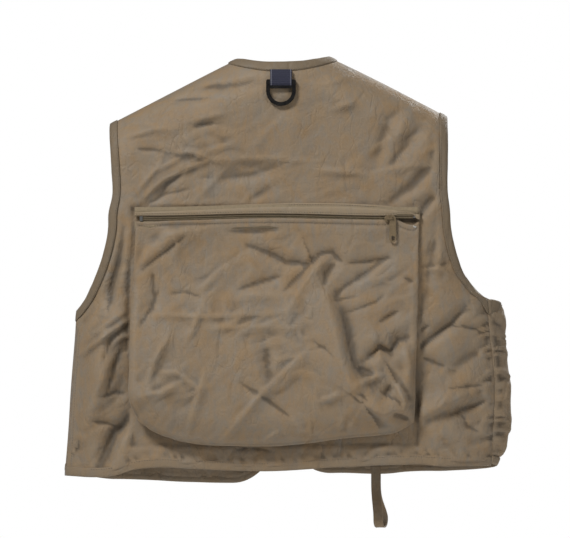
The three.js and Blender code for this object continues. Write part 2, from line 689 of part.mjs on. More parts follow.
// The front zip is parted: one half of the chain on each front, with the slider waiting above the box
// on the wearer's right and the pin on the left.
function frontZip() {
  const zip = new THREE.Group();
  zip.position.set(0, FRONT_FACE + FRONT_ZIP_LIFT, 0);
  vest.add(zip);
  const coilOuter = FRONT_COIL_X + COIL_WIDTH;
  const tapeInner = coilOuter + GAP;
  const tapeOuter = FRONT_EDGE + 8;
  const boxTop = FRONT_ZIP_FOOT - GAP;
  const boxFoot = boxTop - BOX_LENGTH;
  for (const [side, mirror] of [
    ["right", 1],
    ["left", -1],
  ]) {
    const half = new THREE.Group();
    half.scale.x = mirror;
    zip.add(half);
    const coil = block(FRONT_COIL_X, coilOuter, 0, COIL_THICK, FRONT_ZIP_FOOT, FRONT_ZIP_TOP);
    add(`front_zip_coil_${side}`, coil, "coil", half);
    const tape = block(tapeInner, tapeOuter, 0, TAPE_THICK, boxTop, FRONT_ZIP_TOP);
    add(`front_zip_tape_${side}`, tape, "tape", half);
    const stopZ = FRONT_ZIP_TOP + GAP;
    const stop = block(FRONT_COIL_X, coilOuter, -0.2, COIL_THICK + 0.4, stopZ, stopZ + 3);
    add(`front_zip_top_stop_${side}`, stop, "brightMetal", half);
  }
  const pin = block(-coilOuter, -FRONT_COIL_X, 0, COIL_THICK, boxFoot, boxTop);
  add("front_zip_pin", pin, "brightMetal", zip);
  const middle = FRONT_COIL_X - COIL_SPLIT;
  const box = block(middle - 3.6, middle + 3.6, -0.8, COIL_THICK + 0.8, boxFoot, boxTop);
  add("front_zip_box", box, "paintedMetal", zip);

  const slider = new THREE.Group();
  slider.position.set(middle, 0, boxTop + GAP + SLIDER_LENGTH / 2);
  zip.add(slider);
  const body = add("front_zip_slider", sliderBody(), "paintedMetal", slider);
  body.rotation.set(0, -Math.PI / 2, 0);

  // The pull's top bar lies in the crown, and the crown passes through its long eye.
  const bar = 0.8;
  const drop = 1.6;
  const eyeEnd = -7.4;
  const eye = new THREE.Path([at(-1.5, -bar), at(-1.5, eyeEnd), at(1.5, eyeEnd), at(1.5, -bar)]);
  const pull = add("front_zip_pull", pullTab(bar, 3.2, eye), "paintedMetal", slider);
  pull.position.set(0, PULL_Y, -drop);
}

// ---------------------------------------------------------------- net ring

const RING_Y = BACK_FACE - GAP - RIBBON_THICK - GAP - RING_BAR;

// A folded ribbon: both ends in the neck seam, its fold around the ring's bar.
function ringRibbon() {
  const wrap = RING_BAR + GAP + RIBBON_THICK / 2;
  const seamZ = -NECK_DIP - BAND_WIDTH - 4;
  const seamY = -shellDepth(RING_X, seamZ, BACK_DEPTH) - CLOTH - GAP;
  const fold = [];
  const steps = 8;
  for (let i = 0; i <= steps; i++) {
    const angle = Math.PI * (i / steps);
    fold.push(at(RING_Y + wrap * Math.cos(angle), RING_PIVOT_Z - wrap * Math.sin(angle)));
  }
  const path = [at(seamY - 1.1 * RIBBON_THICK, seamZ), ...fold, at(seamY - 3.2 * RIBBON_THICK, seamZ)];
  return alongX(stripProfile(path, RIBBON_THICK), RING_X - RIBBON_HALF, RING_X + RIBBON_HALF);
}

// A flat D with a slot for the ribbon above its crossbar, and a round bar across its top.
function netRing() {
  const inside = RING_HALF - RING_WIRE;
  const crossbarTop = -5.4;
  const crossbarFoot = -8.4;
  const roundZ = -11.6;
  const shoulder = 2.4;
  const outline = new THREE.Shape();
  outline.moveTo(-RING_HALF, roundZ);
  outline.absarc(0, roundZ, RING_HALF, Math.PI, 2 * Math.PI, false);
  outline.lineTo(RING_HALF, 0);
  outline.quadraticCurveTo(RING_HALF, shoulder, RING_HALF - 2, shoulder);
  outline.lineTo(inside, shoulder);
  outline.lineTo(inside, crossbarTop);
  outline.lineTo(-inside, crossbarTop);
  outline.lineTo(-inside, shoulder);
  outline.lineTo(-RING_HALF + 2, shoulder);
  outline.quadraticCurveTo(-RING_HALF, shoulder, -RING_HALF, 0);
  const hole = new THREE.Path();
  hole.moveTo(-inside, crossbarFoot);
  hole.lineTo(-inside, roundZ);
  hole.absarc(0, roundZ, inside, Math.PI, 2 * Math.PI, false);
  hole.lineTo(inside, crossbarFoot);
  outline.holes.push(hole);
  const depth = RING_THICK;
  const plate = new THREE.ExtrudeGeometry(outline, { depth, bevelEnabled: false, curveSegments: 14 });
  plate.rotateX(Math.PI / 2).translate(0, RING_THICK / 2, 0);
  const bar = new THREE.CylinderGeometry(RING_BAR, RING_BAR, 2 * inside + 2, 12).rotateZ(Math.PI / 2);
  return fused([plate, bar]);
}

// ---------------------------------------------------------------- rod strap and loop

function rodTab() {
  const tabFoot = ROD_TAB_TOP - ROD_TAB_LENGTH;
  const studHeight = 2;
  const strap = 1.5;
  const hangY = FRONT_FACE + studHeight + 2 * GAP + strap / 2;
  const path = [
    at(FRONT_FACE + GAP + strap, ROD_TAB_TOP),
    at(hangY, ROD_TAB_TOP - 20),
    at(hangY, tabFoot),
  ];
  const outline = stripProfile(path, strap);
  add("rod_tab", alongX(outline, ROD_TAB_X - ROD_TAB_HALF, ROD_TAB_X + ROD_TAB_HALF), "cloth");

  // The two halves of a snap button, each turned about its own axis.
  const neck = 2.4;
  const studProfile = [
    at(0, 0),
    at(5, 0),
    at(5, 0.8),
    at(neck, 1),
    at(neck, studHeight),
    at(0, studHeight),
  ];
  const capProfile = [at(0, 0), at(6, 0), at(6, 0.9), at(4.4, 2), at(0, 2.3)];
  const snapZ = tabFoot + 9;
  const stud = add("rod_tab_stud", new THREE.LatheGeometry(studProfile, 16), "paintedMetal");
  stud.position.set(ROD_TAB_X, FRONT_FACE + GAP, snapZ);
  const cap = add("rod_tab_cap", new THREE.LatheGeometry(capProfile, 16), "paintedMetal");
  cap.position.set(ROD_TAB_X, hangY + strap / 2 + GAP, snapZ);
}

// A strap sewn flat at its top and opening into a drop below.
function rodLoop() {
  const y = FRONT_FACE - CLOTH / 2;
  const top = FRONT_HEM_Z - 2;
  const sewnEnd = top - 6;
  const half = 11;
  const spread = 14; // how fast the drop opens below the seam
  const fall = 18; // and how long its sides hang straight
  const roundZ = ROD_LOOP_BOTTOM + half;
  const outline = new THREE.Shape();
  outline.moveTo(y - ROD_LOOP_CLOTH, top);
  outline.lineTo(y - ROD_LOOP_CLOTH, sewnEnd);
  outline.bezierCurveTo(y - 3.5, sewnEnd - spread, y - half, roundZ + fall, y - half, roundZ);
  outline.absarc(y, roundZ, half, Math.PI, 2 * Math.PI, false);
  outline.bezierCurveTo(y + half, roundZ + fall, y + 3.5, sewnEnd - spread, y + ROD_LOOP_CLOTH, sewnEnd);
  outline.lineTo(y + ROD_LOOP_CLOTH, top);
  const inner = half - ROD_LOOP_CLOTH;
  const hole = new THREE.Path();
  hole.moveTo(y, sewnEnd);
  hole.bezierCurveTo(y - 2.2, sewnEnd - spread, y - inner, roundZ + fall, y - inner, roundZ);
  hole.absarc(y, roundZ, inner, Math.PI, 2 * Math.PI, false);
  hole.bezierCurveTo(y + inner, roundZ + fall, y + 2.2, sewnEnd - spread, y, sewnEnd);
  outline.holes.push(hole);
  return alongX(outline, ROD_LOOP_X - ROD_LOOP_HALF, ROD_LOOP_X + ROD_LOOP_HALF, 8);
}

// ---------------------------------------------------------------- assembly

add("back_panel", backPanel(), "cloth");
add("neck_band", neckBand(), "binding");
add("back_hem_band", backHemBand(), "binding");

for (const [side, mirror] of [
  ["right", 1],
  ["left", -1],
]) {
  const half = new THREE.Group();
  half.scale.x = mirror;
  vest.add(half);
  add(`front_panel_${side}`, frontPanel(), "cloth", half);
  add(`armhole_band_${side}`, armholeBand(), "binding", half);
  add(`front_hem_band_${side}`, frontHemBand(), "binding", half);
  frontPocket(half, CHEST_POCKET, "chest_pocket", side);
  frontPocket(half, LOWER_POCKET, "lower_pocket", side);
}

add("back_pocket_face", pocketFace(BACK_POCKET, BACK_FACE, -1), "cloth");
add("back_pocket_gusset", pocketGusset(BACK_POCKET, onBack, -1), "cloth");
backZip();
frontZip();

add("ring_ribbon", ringRibbon(), "webbing");
add("net_ring", netRing(), "blackPlastic").position.set(RING_X, RING_Y, RING_PIVOT_Z);

rodTab();
add("rod_loop", rodLoop(), "cloth");

export default vest;
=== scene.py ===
# A fishing vest seen from behind, hanging on its shoulders: poplin cloth with bound edges, a big zipped
# cargo pocket, a ring for a landing net, and the fronts with their zip and four flapped pockets.
#
# Shapes are worked out in millimetres, x to the wearer's right, y forwards and z up, and are turned into
# metres where each mesh is made.

import math

import bmesh
import bpy
import numpy as np
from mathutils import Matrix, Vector
from mathutils.bvhtree import BVHTree


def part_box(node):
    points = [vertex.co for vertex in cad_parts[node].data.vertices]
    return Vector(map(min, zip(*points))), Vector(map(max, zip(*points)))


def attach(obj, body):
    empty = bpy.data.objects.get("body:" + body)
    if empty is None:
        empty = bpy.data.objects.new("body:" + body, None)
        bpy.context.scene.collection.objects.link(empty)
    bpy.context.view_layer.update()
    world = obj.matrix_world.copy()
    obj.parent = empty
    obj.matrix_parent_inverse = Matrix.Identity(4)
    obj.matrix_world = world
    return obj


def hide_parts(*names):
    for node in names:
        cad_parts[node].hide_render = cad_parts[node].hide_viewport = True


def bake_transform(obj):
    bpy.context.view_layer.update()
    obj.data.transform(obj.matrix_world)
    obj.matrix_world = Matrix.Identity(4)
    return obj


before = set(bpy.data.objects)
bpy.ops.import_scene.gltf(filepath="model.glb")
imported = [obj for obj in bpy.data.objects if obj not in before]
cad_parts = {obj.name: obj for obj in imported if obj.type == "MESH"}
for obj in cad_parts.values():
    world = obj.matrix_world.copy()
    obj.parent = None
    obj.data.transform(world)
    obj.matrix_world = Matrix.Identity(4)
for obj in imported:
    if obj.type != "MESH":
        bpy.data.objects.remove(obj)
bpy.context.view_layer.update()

MM = 0.001
VEST = "vest_body"
SIDES = (("right", 1), ("left", -1))
BACKWARDS = (0, -1, 0)
FORWARDS = (0, 1, 0)
DOWNWARDS = (0, 0, -1)

# ---------------------------------------------------------------- sizes shared with the CAD model

NECK_HALF = 54
NECK_BLEND = 30
SHOULDER_FALL = 0.55
SHOULDER_HALF = 205
BACK_ARM_HALF = 203
FRONT_ARM_HALF = 195
ARM_STRAIGHT_END = -170
PIT_HALF = 254
PIT_Z = -302
HEM_HALF = 262
HEM_Z = -497
FRONT_HEM_Z = -510
FRONT_HEM_TURN = 200
NECK_DIP = 5
NECK_END_Z = -190
BACK_DEPTH = 38
FRONT_DEPTH = 42
SHOULDER_ROLL = 50
FLAT_SHARE = 0.72
SHELL = 2.15  # outer face of the cloth to the plane that its depth is measured from
SEAM_GAP = 0.3  # outer face of the cloth to the plane of the seams, at a seam
BAND_WIDTH = 9.6
FRONT_EDGE = 14
CORNER_X = 61
CORNER_Z = -456

BACK_FACE = -BACK_DEPTH - SHELL
FRONT_FACE = FRONT_DEPTH + SHELL

ZIP_Z = -194
ZIP_Y = BACK_FACE - 2.1  # underside of the back chain
CHEST = dict(centre=97, half=55, mouth=-205, bottom=-300, corner=15, mouth_depth=6, full_depth=16)
LOWER = dict(centre=122, half=80, mouth=-332, bottom=-480, corner=25, mouth_depth=8, full_depth=26)

# ---------------------------------------------------------------- curves and noise


def smooth(low, high, value):
    """0 up to low, 1 from high, and smooth in between."""
    t = np.clip((value - low) / (high - low), 0, 1)
    return t * t * (3 - 2 * t)


def within(rise_from, rise_to, fall_from, fall_to, value):
    """1 between two places, and 0 well outside them."""
    return smooth(rise_from, rise_to, value) * (1 - smooth(fall_from, fall_to, value))


def bell(value, middle, width):
    return np.exp(-(((value - middle) / width) ** 2))


def through(points, values):
    """A smooth function through a few (value, result) points, level beyond its ends."""
    at, result = np.array(points, float).T
    slope = np.gradient(result, at)
    value = np.clip(values, at[0], at[-1])
    k = np.clip(np.searchsorted(at, value) - 1, 0, len(at) - 2)
    span = at[k + 1] - at[k]
    t = (value - at[k]) / span
    start = (2 * t**3 - 3 * t**2 + 1) * result[k] + (t**3 - 2 * t**2 + t) * span * slope[k]
    return start + (3 * t**2 - 2 * t**3) * result[k + 1] + (t**3 - t**2) * span * slope[k + 1]


def distances(points):
    """How far along a run of points each one lies."""
    return np.r_[0, np.cumsum(np.linalg.norm(np.diff(points, axis=0), axis=1))]


def evenly(points, count):
    """`count` evenly spaced points along a run of points."""
    points = np.array(points, float)
    length = distances(points)
    where = np.linspace(0, length[-1], count)
    return np.stack([np.interp(where, length, points[:, k]) for k in range(points.shape[1])], 1)


def curve(points, count):
    """Evenly spaced points on a smooth line through a few points."""
    points = np.array(points, float)
    chord = distances(points)
    fine = np.linspace(0, chord[-1], 30 * len(points))
    columns = [through(np.c_[chord, points[:, k]], fine) for k in range(points.shape[1])]
    return evenly(np.stack(columns, 1), count)


def bezier(a, b, c, d, count):
    t = np.linspace(0, 1, count)[:, None]
    a, b, c, d = (np.array(p, float) for p in (a, b, c, d))
    return (1 - t) ** 3 * a + 3 * t * (1 - t) ** 2 * b + 3 * t * t * (1 - t) * c + t**3 * d


def points_at(*coordinates):
    """Points from their coordinates; a coordinate may be the same all along."""
    return np.stack(np.broadcast_arrays(*coordinates), -1)


def edge_distance(grid, edges):
    """Distance of each point of a grid from the nearest of some runs of points."""
    nearest = np.full(grid.shape[:2], np.inf)
    for run in edges:
        for p in run:
            nearest = np.minimum(nearest, np.hypot(grid[..., 0] - p[0], grid[..., 1] - p[1]))
    return nearest


NOISE_CELLS = 64  # the noise repeats after this many lumps


def noise(u, v, size, seed):
    """Smooth noise from -1 to 1, with lumps about `size` across."""
    table = np.random.default_rng(seed).uniform(-1, 1, (NOISE_CELLS, NOISE_CELLS))
    u, v = u / size, v / size
    i, j = np.floor(u).astype(int), np.floor(v).astype(int)
    fu, fv = u - i, v - j
    fu, fv = fu * fu * (3 - 2 * fu), fv * fv * (3 - 2 * fv)
    i, j, next_i, next_j = (k % NOISE_CELLS for k in (i, j, i + 1, j + 1))
    near = table[i, j] * (1 - fu) + table[next_i, j] * fu
    far = table[i, next_j] * (1 - fu) + table[next_i, next_j] * fu
    return near * (1 - fv) + far * fv


def turned(x, z, degrees):
    """Coordinates along and across a direction."""
    c, s = math.cos(math.radians(degrees)), math.sin(math.radians(degrees))
    return x * c + z * s, z * c - x * s


def crumple(x, z, seed, degrees=28, stretch=2.2):
    """The small creases of a light poplin that has been folded away, mostly slanting."""
    warp_x = x + 14 * noise(x, z, 60, seed) + 5 * noise(x, z, 23, seed + 1)
    warp_z = z + 14 * noise(x, z, 60, seed + 2) + 5 * noise(x, z, 23, seed + 3)
    along, across = turned(warp_x, warp_z, degrees)
    ridges = 1 - 2.6 * np.abs(noise(along / stretch, across, 26, seed + 4))
    fine = 1 - 2.6 * np.abs(noise(along / stretch, across, 11, seed + 5))
    patches = 0.35 + 0.65 * smooth(-0.4, 0.5, noise(x, z, 70, seed + 6))
    rolling = 2.4 * noise(x, z, 85, seed + 7) + 1.3 * noise(x, z, 38, seed + 8)
    return rolling + patches * (1.5 * np.maximum(ridges, -0.6) + 0.55 * np.maximum(fine, -0.6))


def fold(x, z, line, wide, steep, height):
    """A fold along a line of points. It falls off over `wide` on the left of the line's direction, and
    over `steep` on the right of it, and fades out at its ends."""
    line = np.array(line, float)
    length = np.linalg.norm(np.diff(line, axis=0), axis=1)
    total = length.sum()
    nearest = np.full(np.shape(x), np.inf)
    away = np.full(np.shape(x), np.inf)
    share = np.zeros(np.shape(x))
    run = 0.0
    for (ax, az), (bx, bz), size in zip(line, line[1:], length):
        dx, dz = bx - ax, bz - az
        t = np.clip(((x - ax) * dx + (z - az) * dz) / size**2, 0, 1)
        px, pz = x - ax - t * dx, z - az - t * dz
        distance = np.hypot(px, pz)
        left = dx * pz - dz * px > 0
        closer = distance < nearest
        nearest = np.where(closer, distance, nearest)
        away = np.where(closer, distance / np.where(left, wide, steep), away)
        share = np.where(closer, (run + t * size) / total, share)
        run += size
    ends = np.sin(math.pi * np.clip(0.06 + 0.88 * share, 0, 1)) ** 0.7
    softness = 1 + 0.8 * float(smooth(4.5, 7.5, min(wide, steep)))
    return height * np.exp(-(away**softness)) * ends


FOLD_GAIN = 2.1  # every listed fold is this much higher than its number


def relief(x, z, folds):
    return FOLD_GAIN * sum((fold(x, z, *f) for f in folds), np.zeros(np.shape(x)))


# ---------------------------------------------------------------- how the vest hangs

# The cloth hangs a little out of true. Each list gives, for a drop below the neck, how far an edge has
# moved across; the hem lists give, for a place across, how far it has moved up.
LEFT_EDGE = [(0, -3), (85, -5), (130, -2.5), (160, -2), (188, -5), (205, -2.5), (243, 1.7), (276, 5)]
LEFT_EDGE += [(290, 6), (302, 4.5), (335, 3.5), (400, 1), (450, 0), (497, -2)]
RIGHT_EDGE = [(0, -3), (85, -6), (116, -6), (160, -5), (188, -3.5), (205, -5.5), (243, -9), (260, -10)]
RIGHT_EDGE += [(276, -7), (290, -6), (302, -7), (330, -5), (400, -1.5), (450, -6), (497, -11)]
BACK_HEM = [(-264, -7.5), (-207, -6.5), (-176, 1.5), (-150, 4), (-102, 2), (-20, -0.5), (60, 4)]
BACK_HEM += [(160, 8), (227, 5), (262, 5)]
FRONT_HEM = [(-262, -2), (-200, -1), (-110, -5), (-70, -6), (-14, -2), (14, 3), (60, 6), (140, 5.5)]
FRONT_HEM += [(160, 8), (207, 9), (262, 8)]
# The slack right front swells out past its side seam by this much, for a drop below the neck.
SIDE_BULGE = [(276, 0), (286, 14), (297, 33), (309, 40), (330, 38), (373, 37), (392, 38), (412, 38)]
SIDE_BULGE += [(440, 41), (469, 38), (488, 33), (497, 24)]
LEAN_REACH = 200  # the edges' lean fades from here towards the middle
RIGHT_SEAM_BACK = 12  # the right side seam sits this far behind the middle
RIGHT_SHOULDER_RISE = 0.046  # for each mm out from the neck
LEFT_PIT_RISE = -3
RIGHT_PIT_RISE = 11
FRONT_SLACK_DROP = 10


def shoulder_z(x):
    return SHOULDER_FALL * (math.hypot(NECK_HALF, NECK_BLEND) - np.hypot(x, NECK_BLEND))


def side_x(z):
    return PIT_HALF + (HEM_HALF - PIT_HALF) * (PIT_Z - z) / (PIT_Z - HEM_Z)


def lean(x, z, hem):
    """Where a point of the upright outline really hangs."""
    out = np.minimum(np.abs(x) / LEAN_REACH, 1) ** 2
    across = np.where(x < 0, through(LEFT_EDGE, -z), through(RIGHT_EDGE, -z)) * out
    shoulder = RIGHT_SHOULDER_RISE * np.maximum(x, 0) * smooth(-200, -70, z)
    near_pit = bell(z, PIT_Z - 2, 16) * smooth(205, 246, np.abs(x))
    pit = np.where(x < 0, LEFT_PIT_RISE, RIGHT_PIT_RISE) * near_pit
    low = smooth(-430, -488, z) * through(hem, x)
    return x + across, z + shoulder + pit + low


def to_side(x, z):
    return np.clip((np.abs(x) / side_x(z) - FLAT_SHARE) / (1 - FLAT_SHARE), 0, 1)


def shell(x, z, depth):
    """Distance of the cloth's outer face from the plane of the seams."""
    over = np.clip(1 - (shoulder_z(x) - z) / SHOULDER_ROLL, 0, 1)
    full = (1 - over**2) ** 0.8 * (1 - to_side(x, z) ** 2)
    return SEAM_GAP + depth * full + (SHELL - SEAM_GAP) * np.minimum(1, 4 * full)


def back_point(p):
    """The point of the back's outer face at a point (x, z) of the upright outline."""
    x, z = p[..., 0], p[..., 1]
    hx, hz = lean(x, z, BACK_HEM)
    y = -shell(x, z, BACK_DEPTH) - RIGHT_SEAM_BACK * right_side(x, z) ** 3
    return points_at(hx, y, hz)


def right_side(x, z):
    """0 to 1 towards the right side seam, below the armhole."""
    return np.where(x > 0, to_side(x, z), 0) * smooth(-262, -300, z)


def front_point(p):
    """The same for the fronts."""
    x, z = p[..., 0], p[..., 1]
    hx, hz = lean(x, z, FRONT_HEM)
    y = shell(x, z, FRONT_DEPTH) - (RIGHT_SEAM_BACK + 2 * SEAM_GAP) * right_side(x, z) ** 3
    slack = np.sin(math.pi * right_side(x, z) ** 2)
    settled = FRONT_SLACK_DROP * slack * smooth(-352, -324, z)
    return points_at(hx + through(SIDE_BULGE, -z) * slack, y, hz - settled)


# ---------------------------------------------------------------- outlines, as (x, z) points


def on_shoulder(x):
    """The point of the shoulder line at x."""
    return (x, float(shoulder_z(x)))


def armhole(arm_half, inset, count):
    """The right armhole's edge from the shoulder tip to the side seam, or a line set in from it."""
    end_z = PIT_Z - 1.45 * inset
    bend_start = (arm_half - inset, ARM_STRAIGHT_END)
    leaves_towards = (arm_half - inset, ARM_STRAIGHT_END - 45 - 0.3 * inset)
    arrives_from = (PIT_HALF - 22 - 0.8 * inset, PIT_Z + 27 - 0.8 * inset)
    bend = bezier(bend_start, leaves_towards, arrives_from, (side_x(end_z), end_z), 40)
    return evenly(np.r_[[on_shoulder(SHOULDER_HALF - inset)], bend], count)


def mirrored(points, mirror):
    """(x, z) points on the right (1) or on the left (-1)."""
    return points * np.array([mirror, 1])


def shoulder_line(from_x, to_x, count):
    x = np.linspace(from_x, to_x, count)
    return points_at(x, shoulder_z(x))


def back_neck(half, middle_z, count):
    x = np.linspace(-half, half, count)
    return points_at(x, middle_z + (shoulder_z(half) - middle_z) * (x / half) ** 2)


NECK_HOLLOW = 14  # how far the front neck's line bends in from straight


def front_neck(start, end, count):
    bend = (start[0] - NECK_HOLLOW, (start[1] + end[1]) / 2)
    t = np.linspace(0, 1, 40)[:, None]
    line = (1 - t) ** 2 * np.array(start) + 2 * t * (1 - t) * np.array(bend) + t * t * np.array(end)
    return evenly(line, count)


def front_hem_z(x):
    climb = np.clip((x - FRONT_HEM_TURN) / (HEM_HALF - FRONT_HEM_TURN), 0, 1)
    return FRONT_HEM_Z + (HEM_Z - FRONT_HEM_Z) * climb**2


def front_hem(edge_x, inset, count):
    angle = np.linspace(0, math.pi / 2, 20)
    corner_x = CORNER_X - (CORNER_X - edge_x) * np.cos(angle)
    corner_z = CORNER_Z - (CORNER_Z - FRONT_HEM_Z - inset) * np.sin(angle)
    x = np.linspace(CORNER_X, side_x(HEM_Z + inset), 30)[1:]
    return evenly(np.r_[points_at(corner_x, corner_z), points_at(x, front_hem_z(x) + inset)], count)


def filled(top, bottom, left, right):
    """A grid of points that fills the outline made by four runs of points."""
    u = np.linspace(0, 1, len(top))[None, :, None]
    v = np.linspace(0, 1, len(left))[:, None, None]
    sides = left[:, None] * (1 - u) + right[:, None] * u
    ends = top[None] * (1 - v) + bottom[None] * v
    corners = (top[0] * (1 - u) + top[-1] * u) * (1 - v) + (bottom[0] * (1 - u) + bottom[-1] * u) * v
    return sides + ends - corners


# ---------------------------------------------------------------- meshes


def box_of(node):
    """A CAD part's lowest and highest corners, in millimetres."""
    low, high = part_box(node)
    return np.array(low) / MM, np.array(high) / MM


def piece_from(name, points, faces, material, body=VEST, replaces=None):
    """A smooth-shaded piece from points in millimetres, and the CAD part that it stands in for."""
    mesh = bpy.data.meshes.new(name)
    mesh.from_pydata((np.asarray(points) * MM).tolist(), [], [list(map(int, f)) for f in faces])
    shape = bmesh.new()
    shape.from_mesh(mesh)
    bmesh.ops.recalc_face_normals(shape, faces=shape.faces)
    shape.to_mesh(mesh)
    shape.free()
    mesh.polygons.foreach_set("use_smooth", [True] * len(mesh.polygons))
    mesh.materials.append(material)
    piece = bpy.data.objects.new(name, mesh)
    bpy.context.scene.collection.objects.link(piece)
    if body:
        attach(piece, body)
    if replaces:
        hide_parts(replaces)
    return piece


def unit(vectors):
    return vectors / np.maximum(np.linalg.norm(vectors, axis=-1, keepdims=True), 1e-9)


def facing(grid, towards):
    """Unit normals of a grid of points, on the side of `towards`."""
    normal = unit(np.cross(np.gradient(grid, axis=0), np.gradient(grid, axis=1)))
    return normal if (normal @ np.array(towards, float)).mean() > 0 else -normal


# Painted shade: a crease this deep below its surroundings is darkened fully, and a ridge this high is kept
# full bright.
CREASE_FULL = 0.6  # mm below or above its surroundings at which a crease shows fully


def creases(grid, normal):
    """How far each point of a grid lies below (-1) or above (1) the cloth right around it, which sets the
    shade painted into its creases.
    """
    mean = grid
    for _ in range(4):
        padded = np.pad(mean, ((1, 1), (1, 1), (0, 0)), "edge")
        mean = (padded[:-2, 1:-1] + padded[2:, 1:-1] + padded[1:-1, :-2] + padded[1:-1, 2:]) / 4
    above = ((grid - mean) * normal).sum(-1)
    above[0] = above[-1] = above[:, 0] = above[:, -1] = 0
    return np.clip(above / CREASE_FULL, -1, 1)


def cloth(name, grid, thickness, towards, material, body=VEST, replaces=None):
    """A closed sheet with rounded edges, whose outer face is the grid, carrying the depth of its creases for
    painted shade.
    """
    rows, columns = grid.shape[:2]
    normal = facing(grid, towards)
    outer = grid.reshape(-1, 3)
    inner = (grid - thickness * normal).reshape(-1, 3)
    ids = np.arange(rows * columns).reshape(rows, columns)
    quads = np.stack([ids[:-1, :-1], ids[:-1, 1:], ids[1:, 1:], ids[1:, :-1]], -1).reshape(-1, 4)
    loop = np.r_[ids[0, :-1], ids[:-1, -1], ids[-1, :0:-1], ids[:0:-1, 0]]
    tangent = unit(outer[np.roll(loop, -1)] - outer[np.roll(loop, 1)])
    out = np.cross(tangent, normal.reshape(-1, 3)[loop])
    middle = outer[ids[rows // 2, columns // 2]]
    out *= np.sign(((outer[loop] - middle) * out).sum())
    rim = (outer[loop] + inner[loop]) / 2 + out * thickness / 2
    count, edge = len(outer), 2 * len(outer) + np.arange(len(loop))
    step, next_edge = np.roll(loop, -1), np.roll(edge, -1)
    faces = np.r_[
        quads,
        quads[:, ::-1] + count,
        np.stack([loop, step, next_edge, edge], 1),
        np.stack([edge, next_edge, step + count, loop + count], 1),
    ]
    piece = piece_from(name, np.r_[outer, inner, rim], faces, material, body, replaces)
    # Painted shade: each point's depth in a crease, by which the poplin darkens its colour.
    crease_shade = piece.data.attributes.new("crease", "FLOAT", "POINT")
    shade = creases(grid, normal).ravel()
    crease_shade.data.foreach_set("value", np.r_[shade, shade, np.zeros(len(rim))].astype(np.float32))
    return piece


def tube(name, rings, material, replaces):
    """A closed solid through rings of points, with flat ends."""
    rings = np.asarray(rings, float)
    ids = np.arange(rings.shape[0] * rings.shape[1]).reshape(rings.shape[:2])
    turn = np.roll(ids, -1, axis=1)
    faces = np.stack([ids[:-1], turn[:-1], turn[1:], ids[1:]], -1).reshape(-1, 4).tolist()
    faces += [ids[0].tolist(), ids[-1][::-1].tolist()]
    return piece_from(name, rings.reshape(-1, 3), faces, material, replaces=replaces)


# A folded edge band seen in section: share of the way from its seam to its edge, and rise off the cloth.
BAND_SECTION = [(-0.03, -0.9), (0.03, 0.9), (0.12, 1.5), (0.35, 1.8), (0.7, 1.7), (0.93, 1.1), (1.0, 0.0)]
BAND_SECTION += [(0.93, -1.0), (0.5, -1.3), (0.1, -1.1)]
BAND_FACE = 0.6  # what rises more than this is the band's outer face


def band(name, outer, inner, towards, material, seed, replaces, pucker=0.35, puff=1.0):
    """A narrow folded band between its seam and its free edge, puckered by its stitching."""
    across = outer - inner
    along = unit(np.gradient(outer + inner, axis=0))
    normal = unit(np.cross(along, across))
    if (normal[len(normal) // 2] @ np.array(towards, float)) < 0:
        normal = -normal
    length = distances(outer)
    level = 0 * length
    rings = []
    for share, rise in BAND_SECTION:
        slanted = length + 6 * share
        ripple = pucker * (noise(slanted, level, 7, seed) + 0.8 * noise(slanted, level, 19, seed + 1))
        height = rise * puff + ripple if rise > BAND_FACE else rise + 0.4 * ripple
        wave = 0.5 * noise(length, level, 26, seed + 2) if share > 0.8 else level
        rings.append(inner + across * (share + wave / BAND_WIDTH)[:, None] + normal * height[:, None])
    return tube(name, np.stack(rings, 1), material, replaces)


STITCH_PITCH = 3.1
STITCH_LENGTH = 2.2
STITCH_HALF = 0.34  # half its width
STITCH_STEP = 1.2  # no stitch spans a step in the cloth deeper than this
FAR_OFF = 120  # further out than any cloth


def stitches(name, line, on, towards, body=VEST):
    """A row of short raised stitches along (x, z) points, lying on the outside of the piece `on`."""
    corners = [vertex.co.copy() for vertex in on.data.vertices]
    surface = BVHTree.FromPolygons(corners, [tuple(polygon.vertices) for polygon in on.data.polygons])
    line = np.array(line, float)
    centres = evenly(line, max(int(distances(line)[-1] / STITCH_PITCH), 2))
    direction = Vector((0, -towards, 0))
    reach = STITCH_LENGTH / STITCH_PITCH / 2
    points, faces = [], []
    for p, q in zip(centres, centres[1:]):
        ends = []
        for share in (0.5 - reach, 0.5, 0.5 + reach):
            x, z = p + (q - p) * share
            place = surface.ray_cast(Vector((x, towards * FAR_OFF, z)) * MM, direction)[0]
            if place is not None:
                ends.append(np.array(place) / MM)
        if len(ends) == 3 and np.ptp([end[1] for end in ends]) < STITCH_STEP:
            add_stitch(points, faces, ends, towards)
    return piece_from(name, points, faces, SHADED_THREAD_LOOK, body)


def add_stitch(points, faces, ends, towards):
    """One stitch: pointed at both ends, with four points around its middle."""
    start, middle, end = ends
    out = np.array([0, towards, 0])
    side = unit(np.cross(unit(end - start), out)) * STITCH_HALF
    first = len(points)
    points += [start, middle + side + out * 0.1, middle + out * (STITCH_HALF + 0.2)]
    points += [middle - side + out * 0.1, middle - out * STITCH_HALF, end]
    for k in range(4):
        a, b = first + 1 + k, first + 1 + (k + 1) % 4
        faces += [(first, a, b), (first + 5, b, a)]


SHARP = math.radians(35)


def bevelled(node, width, material, segments=2):
    """A hard CAD part with its sharp edges rounded off, and its material."""
    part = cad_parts[node]
    part.data.materials.clear()
    part.data.materials.append(material)
    rounding = part.modifiers.new("rounding", "BEVEL")
    rounding.width = width * MM
    rounding.segments = segments
    rounding.limit_method = "ANGLE"
    rounding.angle_limit = SHARP
    for polygon in part.data.polygons:
        polygon.use_smooth = True
    part.data.set_sharp_from_angle(angle=SHARP)
    smoothing = part.modifiers.new("normals", "WEIGHTED_NORMAL")
    smoothing.keep_sharp = True


# ---------------------------------------------------------------- materials


